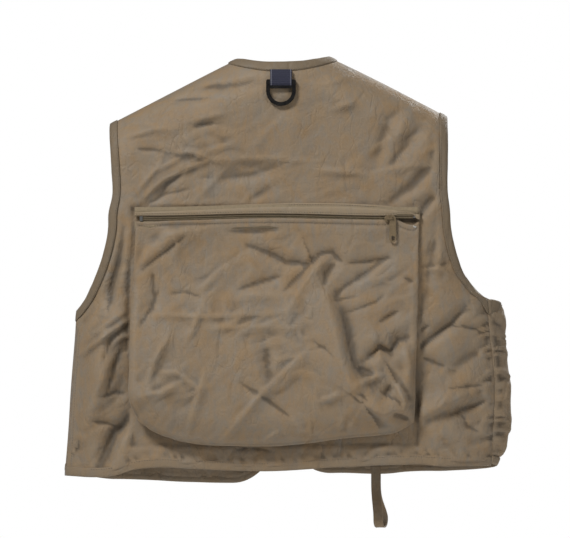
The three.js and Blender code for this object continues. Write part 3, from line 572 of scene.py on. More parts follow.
def linear(*rgb):
    """An sRGB colour, 0 to 255, as Blender's linear RGBA."""
    share = np.array(rgb) / 255
    value = np.where(share <= 0.04045, share / 12.92, ((share + 0.055) / 1.055) ** 2.4)
    return (*value.tolist(), 1)


def times(tone, *factors):
    """A colour with its channels multiplied, as Blender's linear RGBA."""
    return linear(*(min(255, c * k) for c, k in zip(tone, factors * (3 // len(factors)))))


def grey_of(level):
    return (level, level, level, 1)


class Nodes:
    """A short way to write a material's nodes."""

    def __init__(self, name):
        self.material = bpy.data.materials.new(name)
        self.material.use_nodes = True
        self.tree = self.material.node_tree
        self.shader = self.tree.nodes["Principled BSDF"]
        self.place = self.tree.nodes.new("ShaderNodeTexCoord").outputs["Object"]

    def put(self, value, socket):
        """Link another node's output to a socket, or set the socket to a plain value."""
        if hasattr(value, "is_linked"):
            self.tree.links.new(value, socket)
        else:
            socket.default_value = value

    def add(self, kind, inputs, **settings):
        node = self.tree.nodes.new("ShaderNode" + kind)
        for key, value in settings.items():
            setattr(node, key, value)
        for key, value in inputs.items():
            self.put(value, node.inputs[key])
        return node

    def math(self, operation, a, b):
        return self.add("Math", {0: a, 1: b}, operation=operation).outputs[0]

    def scaled(self, x, y, z, turn=(0, 0, 0)):
        inputs = {"Scale": (x, y, z), "Rotation": turn, "Vector": self.place}
        return self.add("Mapping", inputs).outputs["Vector"]

    def noise(self, vector, scale, detail=3.0, roughness=0.5, distortion=0.0):
        inputs = {"Vector": vector, "Scale": scale, "Detail": detail}
        inputs |= {"Roughness": roughness, "Distortion": distortion}
        return self.add("TexNoise", inputs).outputs["Fac"]

    def crackle(self, vector, scale):
        """Fine straight-edged creases: distance from the borders of uneven cells."""
        shift = self.add("TexNoise", {"Vector": vector, "Scale": scale * 0.6})
        soft = self.add("VectorMath", {"Scale": 0.6 / scale, 0: shift.outputs["Color"]}, operation="SCALE")
        warp = self.add("VectorMath", {0: vector, 1: soft.outputs[0]}, operation="ADD")
        inputs = {"Scale": scale, "Vector": warp.outputs[0]}
        cells = self.add("TexVoronoi", inputs, feature="DISTANCE_TO_EDGE")
        low = self.math("MINIMUM", cells.outputs["Distance"], 0.12)
        shown = self.math("MAXIMUM", self.math("SUBTRACT", self.noise(vector, scale * 0.45, 1), 0.42), 0.0)
        return self.math("MULTIPLY", low, self.math("MULTIPLY", shown, 8.0))

    def wave(self, vector, scale, direction):
        inputs = {"Vector": vector, "Scale": scale, "Distortion": 0.4, "Detail": 1}
        return self.add("TexWave", inputs, wave_type="BANDS", bands_direction=direction).outputs["Fac"]

    def ramp(self, value, *stops):
        node = self.add("ValToRGB", {"Fac": value})
        elements = node.color_ramp.elements
        while len(elements) < len(stops):
            elements.new(0.5)
        for element, (position, colour) in zip(elements, stops):
            element.position = position
            element.color = colour
        return node.outputs["Color"]

    def between(self, value, low, high):
        """From one colour to another over the middle of a noise."""
        return self.ramp(value, (0.3, low), (0.7, high))

    def mix(self, kind, amount, a, b):
        return self.add("Mix", {0: amount, 6: a, 7: b}, data_type="RGBA", blend_type=kind).outputs[2]

    def bump(self, height, distance, strength=1.0, below=None):
        inputs = {"Distance": distance, "Strength": strength, "Height": height}
        if below:
            inputs["Normal"] = below
        return self.add("Bump", inputs).outputs["Normal"]

    def finish(self, colour, normal, roughness, **sockets):
        self.put(colour, self.shader.inputs["Base Color"])
        if normal:
            self.put(normal, self.shader.inputs["Normal"])
        self.put(roughness, self.shader.inputs["Roughness"])
        for key, value in sockets.items():
            self.put(value, self.shader.inputs[key.replace("_", " ")])
        return self.material


BANDS_PER_METRE = 1 / 6.283  # the wave texture's scale for one band a metre


def weave(n, pitch):
    """Height of a plain weave with threads `pitch` apart, in metres, over and under."""
    warp = n.wave(n.place, 1 / pitch * BANDS_PER_METRE, "X")
    weft = n.wave(n.place, 1 / pitch * BANDS_PER_METRE, "Z")
    return n.math("ADD", n.math("MULTIPLY", warp, 0.5), n.math("MULTIPLY", weft, 0.5))


def poplin(name, tone, mottle=1.0, creased=1.0):
    """Washed khaki poplin: slightly lustrous and mottled, with painted shade darkening its creases and
    sparing its ridges.
    """
    n = Nodes(name)
    patches = n.noise(n.scaled(1, 1, 0.8, (0, 0.5, 0)), 32, 4, 0.6, 1.0)
    streaks = n.noise(n.scaled(1, 1, 0.5, (0, -0.25, 0)), 75, 3, 0.55, 1.2)
    plain = linear(*tone)
    cool = n.ramp(streaks, (0.34, times(tone, 0.91, 0.985, 1.12)), (0.62, plain))
    warm = n.ramp(patches, (0.36, plain), (0.66, times(tone, 1.05, 0.98, 0.86)))
    colour = n.mix("MIX", n.math("MULTIPLY", n.math("ADD", patches, streaks), 0.5), cool, warm)
    if mottle < 1:
        colour = n.mix("MIX", 1 - mottle, colour, plain)
    slubs = n.noise(n.scaled(1, 1, 0.05), 1500, 2, 0.6)
    colour = n.mix("MULTIPLY", 0.35, colour, n.ramp(slubs, (0.2, grey_of(0.72)), (0.8, grey_of(1.0))))
    # Painted shade: the colour darkens to 0.46 deep in a crease and stays full on a ridge.
    crease = n.add("Attribute", {}, attribute_type="GEOMETRY", attribute_name="crease").outputs["Fac"]
    level = n.math("ADD", n.math("MULTIPLY", crease, 0.5), 0.5)
    wear_and_painted_shade = [(at, grey_of(grey)) for at, grey in ((0.0, 0.46), (0.3, 0.79), (0.5, 0.93), (1.0, 1.0))]
    colour = n.mix("MULTIPLY", 1.0, colour, n.ramp(level, *wear_and_painted_shade))
    threads = n.bump(weave(n, 0.0009), 0.00012, 0.5)
    crushed = n.bump(n.crackle(n.scaled(1, 1, 0.5, (0, 0.6, 0)), 36), 0.0042 * creased, 0.9, threads)
    fine = n.bump(n.crackle(n.scaled(1, 1, 0.6, (0, -0.5, 0)), 95), 0.0016 * creased, 0.9, crushed)
    pits = n.noise(n.scaled(1, 1, 1, (0, 0.45, 0)), 130, 5, 0.62, 0.5)
    normal = n.bump(pits, 0.0016 * creased, 0.7, fine)
    roughness = n.between(patches, grey_of(0.62), grey_of(0.8))
    return n.finish(colour, normal, roughness, Sheen_Weight=0.12, Sheen_Roughness=0.45)


def zip_tape(name, tone):
    n = Nodes(name)
    ribs = n.bump(weave(n, 0.0008), 0.0003, 0.8)
    colour = n.between(n.noise(n.place, 300, 3), times(tone, 0.9), linear(*tone))
    return n.finish(colour, ribs, 0.8, Sheen_Weight=0.15)


def nylon(name, tone):
    n = Nodes(name)
    colour = n.between(n.noise(n.place, 900, 2), times(tone, 0.8), linear(*tone))
    return n.finish(colour, None, 0.42)


def painted_metal(name, tone):
    """Khaki enamel, worn a little brighter in small patches."""
    n = Nodes(name)
    wear_and_painted_shade = n.noise(n.place, 420, 5, 0.65)
    colour = n.ramp(wear_and_painted_shade, (0.3, times(tone, 0.9)), (0.6, linear(*tone)), (0.75, times(tone, 1.25)))
    normal = n.bump(n.noise(n.place, 700, 3), 0.00008, 0.5)
    roughness = n.ramp(wear_and_painted_shade, (0.3, grey_of(0.34)), (0.8, grey_of(0.5)))
    return n.finish(colour, normal, roughness, Metallic=0.35)


def bright_metal(name):
    n = Nodes(name)
    scuffs = n.noise(n.scaled(1, 1, 4), 600, 4, 0.6)
    colour = n.between(scuffs, linear(165, 163, 158), linear(222, 221, 216))
    return n.finish(colour, n.bump(scuffs, 0.00005, 0.5), 0.28, Metallic=1.0)


def black_plastic(name):
    n = Nodes(name)
    rubbed = n.noise(n.place, 160, 4, 0.6)
    colour = n.ramp(rubbed, (0.35, linear(14, 13, 14)), (0.72, linear(34, 32, 30)))
    return n.finish(colour, n.bump(n.noise(n.place, 1300, 3), 0.00005, 0.5), 0.22)


def navy_webbing(name, middle, selvedge):
    """Navy ribbon with crosswise ribs and a paler thread `selvedge` metres to each side of its middle."""
    n = Nodes(name)
    ribs = n.bump(n.wave(n.place, 1 / 0.0011 * BANDS_PER_METRE, "Z"), 0.0003, 0.7)
    colour = n.between(n.noise(n.place, 1200, 3), linear(16, 17, 36), linear(28, 30, 56))
    split = n.add("SeparateXYZ", {0: n.place})
    aside = n.math("ABSOLUTE", n.math("SUBTRACT", split.outputs["X"], middle), 0.0)
    from_thread = n.math("ABSOLUTE", n.math("SUBTRACT", aside, selvedge), 0.0)
    on_thread = n.math("LESS_THAN", from_thread, 0.0004)
    colour = n.mix("MIX", n.math("MULTIPLY", on_thread, 0.35), colour, linear(150, 150, 158))
    return n.finish(colour, ribs, 0.75, Sheen_Weight=0.2)


def touch_tape(name):
    n = Nodes(name)
    loops = n.noise(n.place, 1600, 4, 0.7, 1.0)
    colour = n.between(loops, linear(84, 75, 60), linear(122, 110, 90))
    return n.finish(colour, n.bump(loops, 0.0008, 0.9), 0.95)


def thread(name, tone):
    n = Nodes(name)
    colour = n.between(n.noise(n.place, 2500, 2), times(tone, 0.85), linear(*tone))
    return n.finish(colour, None, 0.6, Sheen_Weight=0.2)


KHAKI = (141, 122, 97)
CLOTH_LOOK = poplin("khaki_poplin", KHAKI)
PLAIN_LOOK = poplin("khaki_poplin_front", KHAKI, mottle=0.6)
BAND_LOOK = poplin("khaki_binding", (122, 106, 84), mottle=0.4, creased=0.7)
HEM_LOOK = poplin("khaki_hem", (136, 118, 94), mottle=0.6)
WELT_LOOK = poplin("khaki_welt", (148, 130, 104), mottle=0.4, creased=0.5)
TAPE_LOOK = zip_tape("zip_tape", (138, 122, 96))
COIL_LOOK = nylon("zip_coil", (150, 134, 106))
PAINT_LOOK = painted_metal("khaki_enamel", (133, 115, 88))
STEEL_LOOK = bright_metal("nickel")
RING_LOOK = black_plastic("black_nylon")
RIBBON_LOOK = navy_webbing("navy_webbing", -2.4 * MM, 11.6 * MM)
TOUCH_LOOK = touch_tape("touch_tape")
# The thread is khaki; its tone, well below the cloth's, is partly painted shade of the stitch lines.
SHADED_THREAD_LOOK = thread("khaki_thread_painted_shade", (84, 70, 52))

# ---------------------------------------------------------------- folds of the back

# Each fold: its line of (x, z) points, how far it falls off on its left and on its right, and its height,
# which is below 0 for a hollow.
BACK_FOLDS = [
    # below the neck, on the left
    ([(-113, -32), (-74, -35), (-31, -29)], 12, 8, -2.6),
    ([(-113, -27), (-72, -29), (-33, -23)], 10, 5, 1.6),
    ([(-163, -64), (-137, -51), (-101, -50), (-86, -48)], 5, 4, -1.6),
    ([(-108, -77), (-88, -72), (-66, -67)], 9, 4, 2.2),
    ([(-107, -83), (-83, -79)], 4, 6, -2.4),
    ([(-197, -97), (-151, -86), (-134, -86)], 8, 3, 2.2),
    ([(-208, -112), (-192, -110)], 4, 5, -1.8),
    ([(-175, -110), (-143, -112)], 4, 5, -1.4),
    ([(-128, -114), (-107, -115), (-90, -122)], 9, 3, 3.0),
    # the long slanting creases above the pocket's left end
    ([(-169, -172), (-155, -158), (-143, -148), (-115, -134), (-90, -125)], 7, 2.6, 2.4),
    ([(-175, -162), (-162, -146), (-151, -134), (-147, -125)], 6, 2.6, 2.2),
    ([(-150, -136), (-125, -122)], 5, 2.6, 1.8),
    ([(-118, -134), (-138, -152), (-152, -172)], 6, 9, -1.6),
    ([(-60, -124), (-84, -150), (-108, -176)], 5, 10, 1.2),
    ([(-168, -180), (-140, -164), (-112, -158)], 6, 5, -1.6),
    ([(-82, -145), (-40, -140), (-5, -130)], 16, 9, -3.0),
    ([(-43, -169), (-13, -154)], 12, 8, -1.8),
    # the crease of storage across the middle
    ([(-90, -124), (-20, -122), (41, -125)], 6, 3, 1.2),
    ([(46, -136), (78, -138), (103, -140)], 6, 3, 1.6),
    ([(109, -137), (134, -134), (162, -130), (186, -130)], 7, 4, 1.4),
    # on the right of the neck
    ([(53, -32), (86, -20)], 8, 3, 1.6),
    ([(64, -62), (88, -53)], 6, 3, 2.2),
    # drapes from the right shoulder
    ([(146, -56), (126, -74), (118, -98), (109, -130)], 10, 11, -2.4),
    ([(179, -60), (162, -83), (143, -107), (131, -132)], 11, 12, -2.2),
    ([(160, -52), (146, -76), (131, -104), (120, -134)], 10, 10, 1.4),
    ([(185, -92), (181, -126)], 8, 9, -2.0),
    ([(180, -126), (158, -152), (126, -174)], 12, 9, -2.4),
    ([(187, -136), (168, -160), (140, -176)], 9, 9, 1.8),
    ([(163, -190), (175, -176), (187, -166)], 7, 5, -3.4),
    ([(172, -192), (190, -172)], 6, 8, 2.0),
    # right of the pocket
    ([(187, -192), (180, -230), (174, -256), (170, -300)], 8, 9, -1.4),
    ([(196, -196), (192, -232), (182, -262)], 6, 7, 2.6),
    ([(175, -254), (194, -256), (209, -268)], 3, 7, 2.4),
    ([(176, -252), (198, -247), (212, -252)], 4, 4, -1.4),
    ([(158, -351), (178, -338), (204, -318), (219, -302)], 7, 6, -4.6),
    ([(160, -330), (176, -322)], 4, 4, -2.2),
    ([(200, -324), (216, -323), (232, -327), (246, -336)], 4, 5, -2.4),
    ([(166, -360), (196, -372)], 5, 9, -2.6),
    ([(196, -380), (214, -366), (238, -352)], 12, 12, -2.6),
    ([(156, -435), (180, -423), (206, -411), (226, -404)], 16, 7, 4.6),
    ([(198, -398), (226, -395), (246, -394)], 4, 5, -2.2),
    ([(200, -431), (214, -424), (232, -419), (247, -412)], 6, 4, -3.4),
    ([(214, -428), (222, -444), (240, -452)], 5, 8, -2.0),
    ([(170, -470), (190, -452), (226, -456)], 12, 10, 1.6),
    # left of the pocket
    ([(-194, -206), (-199, -249), (-205, -268), (-214, -300)], 7, 8, -4.6),
    ([(-186, -214), (-192, -250), (-200, -292)], 6, 6, 2.0),
    ([(-178, -212), (-182, -250), (-186, -300), (-188, -352)], 8, 5, -2.6),
    ([(-252, -364), (-234, -351), (-214, -336), (-184, -315)], 8, 3, 4.4),
    ([(-236, -338), (-214, -322), (-190, -306)], 5, 2.6, 3.0),
    ([(-206, -348), (-196, -338), (-182, -333)], 5, 4, 2.4),
    ([(-250, -352), (-236, -326), (-222, -300)], 7, 8, 2.0),
    ([(-213, -312), (-218, -350), (-220, -388), (-229, -412), (-243, -450)], 15, 30, 11.0),
    ([(-196, -352), (-204, -380), (-212, -404)], 4, 6, -2.0),
    ([(-206, -336), (-216, -366), (-222, -384)], 3, 4, -1.6),
    ([(-196, -346), (-210, -374)], 3, 4, 1.4),
    ([(-233, -436), (-210, -440), (-190, -446)], 4, 6, -2.0),
    ([(-224, -497), (-214, -478), (-203, -452), (-178, -430)], 9, 10, -6.5),
    ([(-206, -497), (-196, -470), (-184, -447), (-164, -432)], 8, 12, 3.0),
    ([(-222, -408), (-200, -402), (-188, -404)], 4, 5, -1.6),
    # below the pocket
    ([(-140, -474), (-150, -462)], 5, 5, 1.6),
    ([(-60, -474), (-40, -468), (-10, -474)], 6, 5, -1.4),
    ([(60, -468), (92, -462), (128, -464)], 6, 6, 1.4),
]

POCKET_FOLDS = [
    # fan from the top left corner
    ([(-173, -252), (-162, -236), (-150, -222), (-136, -214), (-108, -207)], 8, 15, 5.4),
    ([(-172, -256), (-142, -234), (-114, -212)], 4, 5, -2.6),
    ([(-156, -258), (-155, -288)], 4, 4, -1.8),
    ([(-149, -280), (-157, -302), (-171, -322)], 4, 7, -2.6),
    ([(-134, -332), (-144, -348), (-154, -368), (-163, -391)], 4, 8, 3.2),
    ([(-176, -410), (-160, -404), (-145, -403), (-119, -388)], 8, 5, 2.8),
    ([(-145, -377), (-124, -378), (-101, -397)], 4, 4, 2.0),
    ([(-136, -284), (-118, -282), (-96, -288)], 5, 3, -1.2),
    ([(-132, -210), (-126, -228), (-134, -244)], 4, 5, 1.4),
    # storage creases across
    ([(-180, -313), (-140, -309), (-90, -311), (8, -306)], 6, 3, 1.3),
    ([(-84, -325), (-40, -322), (8, -325)], 5, 3, 1.1),
    ([(-100, -306), (-106, -324), (-116, -342)], 3, 6, 1.8),
    ([(-63, -209), (-36, -210), (-9, -208)], 6, 5, -1.6),
    # the star of folds in the middle
    ([(-42, -226), (-18, -235), (4, -246), (30, -249), (59, -236)], 7, 6, -3.6),
    ([(39, -236), (59, -235), (72, -247)], 5, 6, -3.0),
    ([(30, -257), (46, -242), (60, -236)], 5, 5, 3.6),
    ([(54, -242), (38, -256), (20, -278), (6, -304)], 7, 5, 3.6),
    ([(44, -238), (24, -258), (2, -280)], 4, 6, -2.6),
    ([(62, -246), (52, -262), (46, -282)], 6, 9, -3.0),
    ([(-51, -278), (-26, -270), (-4, -263)], 5, 5, -2.8),
    ([(-60, -290), (-30, -284), (0, -284)], 8, 7, 1.4),
    ([(-115, -451), (-104, -414), (-92, -377)], 5, 5, 2.2),
    ([(-74, -462), (-52, -434), (-29, -406), (8, -371), (30, -350)], 5, 8, 3.6),
    ([(-23, -462), (-4, -448)], 4, 5, 2.6),
    ([(-49, -391), (-20, -410), (8, -430)], 5, 5, -2.0),
    ([(-21, -344), (-17, -386)], 7, 9, -2.2),
    # upper right
    ([(79, -247), (101, -246), (125, -241)], 4, 6, -3.0),
    ([(125, -241), (108, -253), (88, -267), (76, -274), (62, -288)], 5, 5, -3.0),
    ([(128, -244), (112, -258), (92, -272)], 8, 4, 1.6),
    ([(145, -265), (159, -270)], 4, 4, -2.2),
    ([(78, -306), (95, -300), (111, -294), (121, -285)], 4, 3, -1.4),
    ([(54, -295), (71, -290), (88, -287)], 4, 3, -1.2),
    ([(36, -340), (54, -352), (62, -362)], 4, 4, -1.6),
    ([(24, -352), (48, -347), (60, -344)], 5, 4, -1.2),
    # the main ridge down to the right corner
    (
        [(40, -262), (51, -290), (58, -314), (63, -337), (66, -356), (71, -373), (79, -390), (92, -410)],
        13,
        30,
        8.0,
    ),
    ([(46, -272), (60, -320), (67, -356), (79, -390), (100, -416)], 2.6, 3.4, 1.5),
    ([(64, -290), (76, -326), (84, -362), (100, -390)], 13, 8, -3.6),
    ([(96, -400), (110, -418), (130, -436), (146, -446)], 12, 8, 3.0),
    # the crumpled right corner
    ([(115, -317), (126, -311), (137, -305)], 3, 5, -2.6),
    ([(98, -363), (106, -356), (115, -347), (128, -353), (138, -341), (149, -337)], 7, 6, -7.0),
    ([(113, -340), (121, -345), (129, -347)], 4, 4, 2.4),
    ([(108, -330), (112, -344), (104, -356)], 5, 8, 2.6),
    ([(84, -395), (101, -386), (121, -380)], 4, 5, 4.6),
    ([(88, -374), (100, -378), (108, -384)], 7, 6, -3.6),
    ([(84, -402), (94, -406), (102, -414)], 6, 6, -3.0),
    ([(99, -416), (110, -424), (121, -429), (131, -424), (144, -424), (148, -415), (137, -394)], 20, 4, 9.0),
    ([(122, -412), (124, -402), (128, -392)], 4, 5, -3.6),
    ([(150, -400), (152, -372), (147, -348)], 10, 7, 3.6),
    ([(137, -396), (146, -418), (156, -437)], 6, 4, 3.0),
    ([(130, -424), (142, -430), (155, -437)], 4, 5, -3.4),
    ([(44, -411), (58, -408), (70, -402)], 5, 4, 3.2),
    ([(66, -446), (72, -430)], 4, 4, 1.8),
    ([(78, -448), (84, -438)], 3, 4, 2.0),
    ([(10, -430), (22, -448), (40, -452)], 6, 6, 1.4),
]

# ---------------------------------------------------------------- seams and gathers

PANEL_THICK = 1.2
POCKET_THICK = 1.0
SIDE_THICK = 0.9
FLAP_THICK = 1.3

BACK_POCKET_LEFT = -176
BACK_POCKET_RIGHT = 163
POCKET_TOP = ZIP_Z - 3.9
FULLEST = 15  # no fold of the back pocket stands out by more than this

# Where the back's side seams run: how far across, for a drop below the neck.
RIGHT_SEAM = [(288, 247), (330, 250), (400, 255), (450, 254), (495, 250)]
LEFT_SEAM = [(300, -249), (335, -252), (400, -258), (450, -261), (500, -263)]


def stitched_groove(distance, width=1.6, depth=0.8):
    return -depth * bell(distance, 0, width)


def gathers(along, away, seed, height, reach):
    """Short folds across a seam, where its thread has drawn the cloth up."""
    slanted = along + 0.35 * away
    ridges = 0.7 - 2.4 * np.abs(noise(slanted, 0.3 * away, 8, seed))
    return height * np.maximum(ridges, -0.7) * smooth(0, 3.5, away) * np.exp(-away / reach)


def under_pocket(x, z):
    """1 where the panel is hidden by the pocket and the zip."""
    return within(-188, -180, 161, 167, x) * within(-472, -464, -184, -174, z)


def back_relief(x, z, inward):
    """Folds of the back panel, dying out towards its bands at `inward` mm from them."""
    free = (relief(x, z, BACK_FOLDS) + 0.8 * crumple(x, z, 11)) * (0.1 + 0.9 * smooth(4, 18, inward))
    above_hem = np.maximum(z - HEM_Z - BAND_WIDTH - through(BACK_HEM, x), 0)
    from_right = np.maximum(through(RIGHT_SEAM, -z) - x, 0)
    from_left = np.maximum(x - through(LEFT_SEAM, -z), 0)
    free = free + gathers(x, above_hem, seed=31, height=1.5, reach=8)
    free = free + gathers(z, from_right, seed=33, height=4.4, reach=14) * smooth(-292, -306, z)
    free = free + gathers(z, from_left, seed=35, height=1.2, reach=7) * smooth(-330, -380, z)
    near_neck = bell(x, -2, 24) * bell(z, -22, 26)
    hidden = under_pocket(x, z)
    slit = within(134, 140, 158, 163, x) * bell(z, ZIP_Z - 2, 5)
    seams = 0.9 * (1 - smooth(2.8, 6.5, inward))
    return free * (1 - hidden) * (1 - near_neck) - 1.2 * hidden - 5 * slit - seams


# ---------------------------------------------------------------- body of the vest

SEAM_INSET = BAND_WIDTH - 3  # the panels run this far in under their bands
NECK_SEAM = BAND_WIDTH + 2.4  # the seam, in from the neck's edge
NECK_SEAM_HALF = NECK_HALF + NECK_SEAM
NECK_SEAM_Z = -NECK_DIP - NECK_SEAM
NECK_TUCK = 3  # the panels run this far past the neck's seam
BAND_STITCHES = BAND_WIDTH - 1.5  # in from the band's edge
NECK_STITCHES = 1.3  # out from the neck's seam, onto its band
WELT_TOP_STITCHES = 1.9  # in from the welt's edges
WELT_FOOT_STITCHES = 2.1
POCKET_STITCHES = 2.4  # in from a front pocket's edge
LEFT_SIDE_STITCHES = 6.5  # in from the left side seam


def flat_line(points):
    """3-D points seen from the front or the back, as (x, z)."""
    return points[..., [0, 2]]


def panel_side(arm_half, count):
    """A panel's right edge: the armhole's seam and the side seam, down to the hem's seam."""
    seam = armhole(arm_half, SEAM_INSET, 60)
    z = np.linspace(seam[-1, 1], HEM_Z + SEAM_INSET, 40)[1:]
    return evenly(np.r_[seam, points_at(side_x(z), z)], count)


def back_panel():
    right = panel_side(BACK_ARM_HALF, 210)
    seam_half = SHOULDER_HALF - SEAM_INSET
    half = NECK_SEAM_HALF - NECK_TUCK
    top = np.r_[
        shoulder_line(-seam_half, -half, 60)[:-1],
        back_neck(half, NECK_SEAM_Z + NECK_TUCK, 66),
        shoulder_line(half, seam_half, 60)[1:],
    ]
    bottom = points_at(np.linspace(-right[-1, 0], right[-1, 0], len(top)), HEM_Z + SEAM_INSET)
    grid = back_point(filled(top, bottom, mirrored(right, -1), right))
    flat = flat_line(grid)
    sides = (flat[:, 0], flat[:, -1])
    bands = [flat[0]] + [line[line[:, 1] > PIT_Z - 8] for line in sides]
    seams = [line[line[:, 1] <= PIT_Z - 8] for line in sides]
    inward = np.minimum(edge_distance(flat, bands), 3.0 * edge_distance(flat, seams))
    grid[..., 1] -= back_relief(grid[..., 0], grid[..., 2], inward)
    return cloth("back_cloth", grid, PANEL_THICK, BACKWARDS, CLOTH_LOOK, replaces="back_panel")


def front_relief(x, z, mirror):
    """Folds of a front, pressed flat behind its pockets and, on the right, behind the rod strap."""
    seed = 200 if mirror > 0 else 260
    across = np.abs(x)
    behind = within(35, 47, 195, 208, across) * within(-490, -482, -190, -180, z)
    strap = 0
    if mirror > 0:
        strap = (1 - smooth(14, 22, np.abs(x - 100))) * within(-152, -144, -96, -88, z)
    free = 1.1 * crumple(x, z, seed, 28 * mirror) + 1.6 * noise(x, z, 120, seed + 20)
    return free * (1 - behind) * smooth(24, 34, across) * (1 - strap) - 0.6 * behind


def front_panel(side, mirror):
    neck_top = on_shoulder(NECK_SEAM_HALF - NECK_TUCK)
    neck_end = (FRONT_EDGE, NECK_END_Z - BAND_WIDTH - 1)
    down = points_at(FRONT_EDGE, np.linspace(neck_end[1], CORNER_Z, 30))
    left = evenly(np.r_[front_neck(neck_top, neck_end, 60), down[1:]], 120)
    right = panel_side(FRONT_ARM_HALF, 120)
    top = shoulder_line(neck_top[0], SHOULDER_HALF - SEAM_INSET, 76)
    outline = mirrored(filled(top, front_hem(FRONT_EDGE, SEAM_INSET, 76), left, right), mirror)
    grid = front_point(outline)
    flat = flat_line(grid)
    inward = edge_distance(flat, [flat[0], flat[-1], flat[:, 0], flat[:, -1]])
    grid[..., 1] += front_relief(grid[..., 0], grid[..., 2], mirror) * smooth(3, 16, inward)
    if mirror > 0:
        x, z = outline[..., 0], outline[..., 1]
        below_pit = smooth(-300, -312, z)
        grid[..., 0] += gathers(z, side_x(z) - x, seed=33, height=1.6, reach=40) * below_pit
        grid[..., 1] -= gathers(z, side_x(z) - x, seed=33, height=4.2, reach=24) * below_pit
    name = f"front_cloth_{side}"
    return cloth(name, grid, PANEL_THICK, FORWARDS, PLAIN_LOOK, replaces=f"front_panel_{side}")


def neck_band():
    """One band round the back of the neck and down both fronts."""
    edge = ((NECK_HALF, 0), (4, NECK_END_Z), NECK_HALF, -NECK_DIP)
    seam = (on_shoulder(NECK_SEAM_HALF), (FRONT_EDGE, NECK_END_Z - NECK_SEAM), NECK_SEAM_HALF, NECK_SEAM_Z)
    lines = []
    for top, end, back_half, back_z in (edge, seam):
        front = front_neck(top, end, 70)
        behind = back_point(back_neck(back_half, back_z, 50))[1:-1]
        lines.append(np.r_[front_point(mirrored(front, -1))[::-1], behind, front_point(front)])
    return band("neck_binding", *lines, BACKWARDS, BAND_LOOK, 41, "neck_band", pucker=0.3)


def armhole_band(side, mirror):
    lines = []
    for inset in (0, BAND_WIDTH):
        back = back_point(mirrored(armhole(BACK_ARM_HALF, inset, 120), mirror))
        front = front_point(mirrored(armhole(FRONT_ARM_HALF, inset, 120), mirror))
        lines.append(np.r_[back[::-1], front[1:]])
    name, node = f"armhole_binding_{side}", f"armhole_band_{side}"
    return band(name, *lines, BACKWARDS, BAND_LOOK, 50 + mirror, node, pucker=0.45)


def back_hem_band():
    seam_z = HEM_Z + BAND_WIDTH + 1.6
    x = np.linspace(-1, 1, 190)
    inner = back_point(points_at(x * side_x(seam_z), seam_z))
    outer = back_point(points_at(x * HEM_HALF, HEM_Z))
    return band("back_hem_fold", outer, inner, BACKWARDS, HEM_LOOK, 61, "back_hem_band", puff=0.55)


def front_hem_band(side, mirror):
    inner = front_point(mirrored(front_hem(FRONT_EDGE, BAND_WIDTH, 150), mirror))
    outer = front_point(mirrored(front_hem(8.3, 0, 150), mirror))
    name, node = f"front_hem_fold_{side}", f"front_hem_band_{side}"
    return band(name, outer, inner, FORWARDS, HEM_LOOK, 71 + mirror, node, puff=0.6)


# ---------------------------------------------------------------- pockets


def around(left, foot, right):
    """One run down the left side, along the foot and up the right side."""
    return np.r_[left, foot[1:-1], right[::-1]]


def gusset(name, material, rim, depths, centre, rows, bulge, replaces, mirror=1):
    """A pocket's side: cloth from the rim of its face back to the panel, `depths` giving both."""
    outward = unit(rim - np.array(centre))
    front, back = depths
    grid = []
    for share in np.linspace(0, 1, rows):
        at = rim + outward * np.reshape(bulge(share), (-1, 1))
        grid.append(points_at(mirror * at[:, 0], front + (back - front) * share, at[:, 1]))
    return cloth(name, np.array(grid), SIDE_THICK, DOWNWARDS, material, replaces=replaces)


TOP_RISE = 4.1  # the back pocket's cloth off the panel at its zip
MORE_RISE = 25.9  # and how much further off it stands lower down
RISE_FROM = -209.4
RISE_TO = -467


def pocket_rise(x, z):
    """How far the back pocket's cloth stands off the panel, least along its drawn-in right side."""
    down = np.clip((RISE_FROM - z) / (RISE_FROM - RISE_TO), 0, 1)
    return TOP_RISE + MORE_RISE * smooth(0, 0.75, down) * (1 - 0.45 * smooth(80, BACK_POCKET_RIGHT, x))


POCKET_LEFT = [(BACK_POCKET_LEFT, POCKET_TOP), (-177, -222), (-179, -258), (-182, -306), (-183.5, -372)]
POCKET_LEFT += [(-183, -412), (-173, -436)]
POCKET_FOOT = [(-173, -436), (-156, -448), (-134, -457), (-108, -463), (-60, -466), (8, -465), (36, -462)]
POCKET_FOOT += [(72, -457), (106, -454), (136, -450), (157, -438)]
POCKET_RIGHT = [(BACK_POCKET_RIGHT, POCKET_TOP), (162, -222), (162, -277), (161, -316), (159.6, -354)]
POCKET_RIGHT += [(158, -392), (158, -418), (157, -438)]
PULL_PLACES = (131, -158)  # across, where the pull hangs at rest and with the pocket fully open
HEM_SEAM_DOWN = 3.2  # the pocket's top seam, below its upper edge


def pocket_top(x):
    """The pocket's upper edge, close under the chain and dropped with it at the right end."""
    slider_room = 1.8 * bell(x, -161, 12)
    return POCKET_TOP + chain_bow(x) - slider_room - 0.8 * chain_drop(x) * (1 - 0.6 * smooth(157, 163, x))


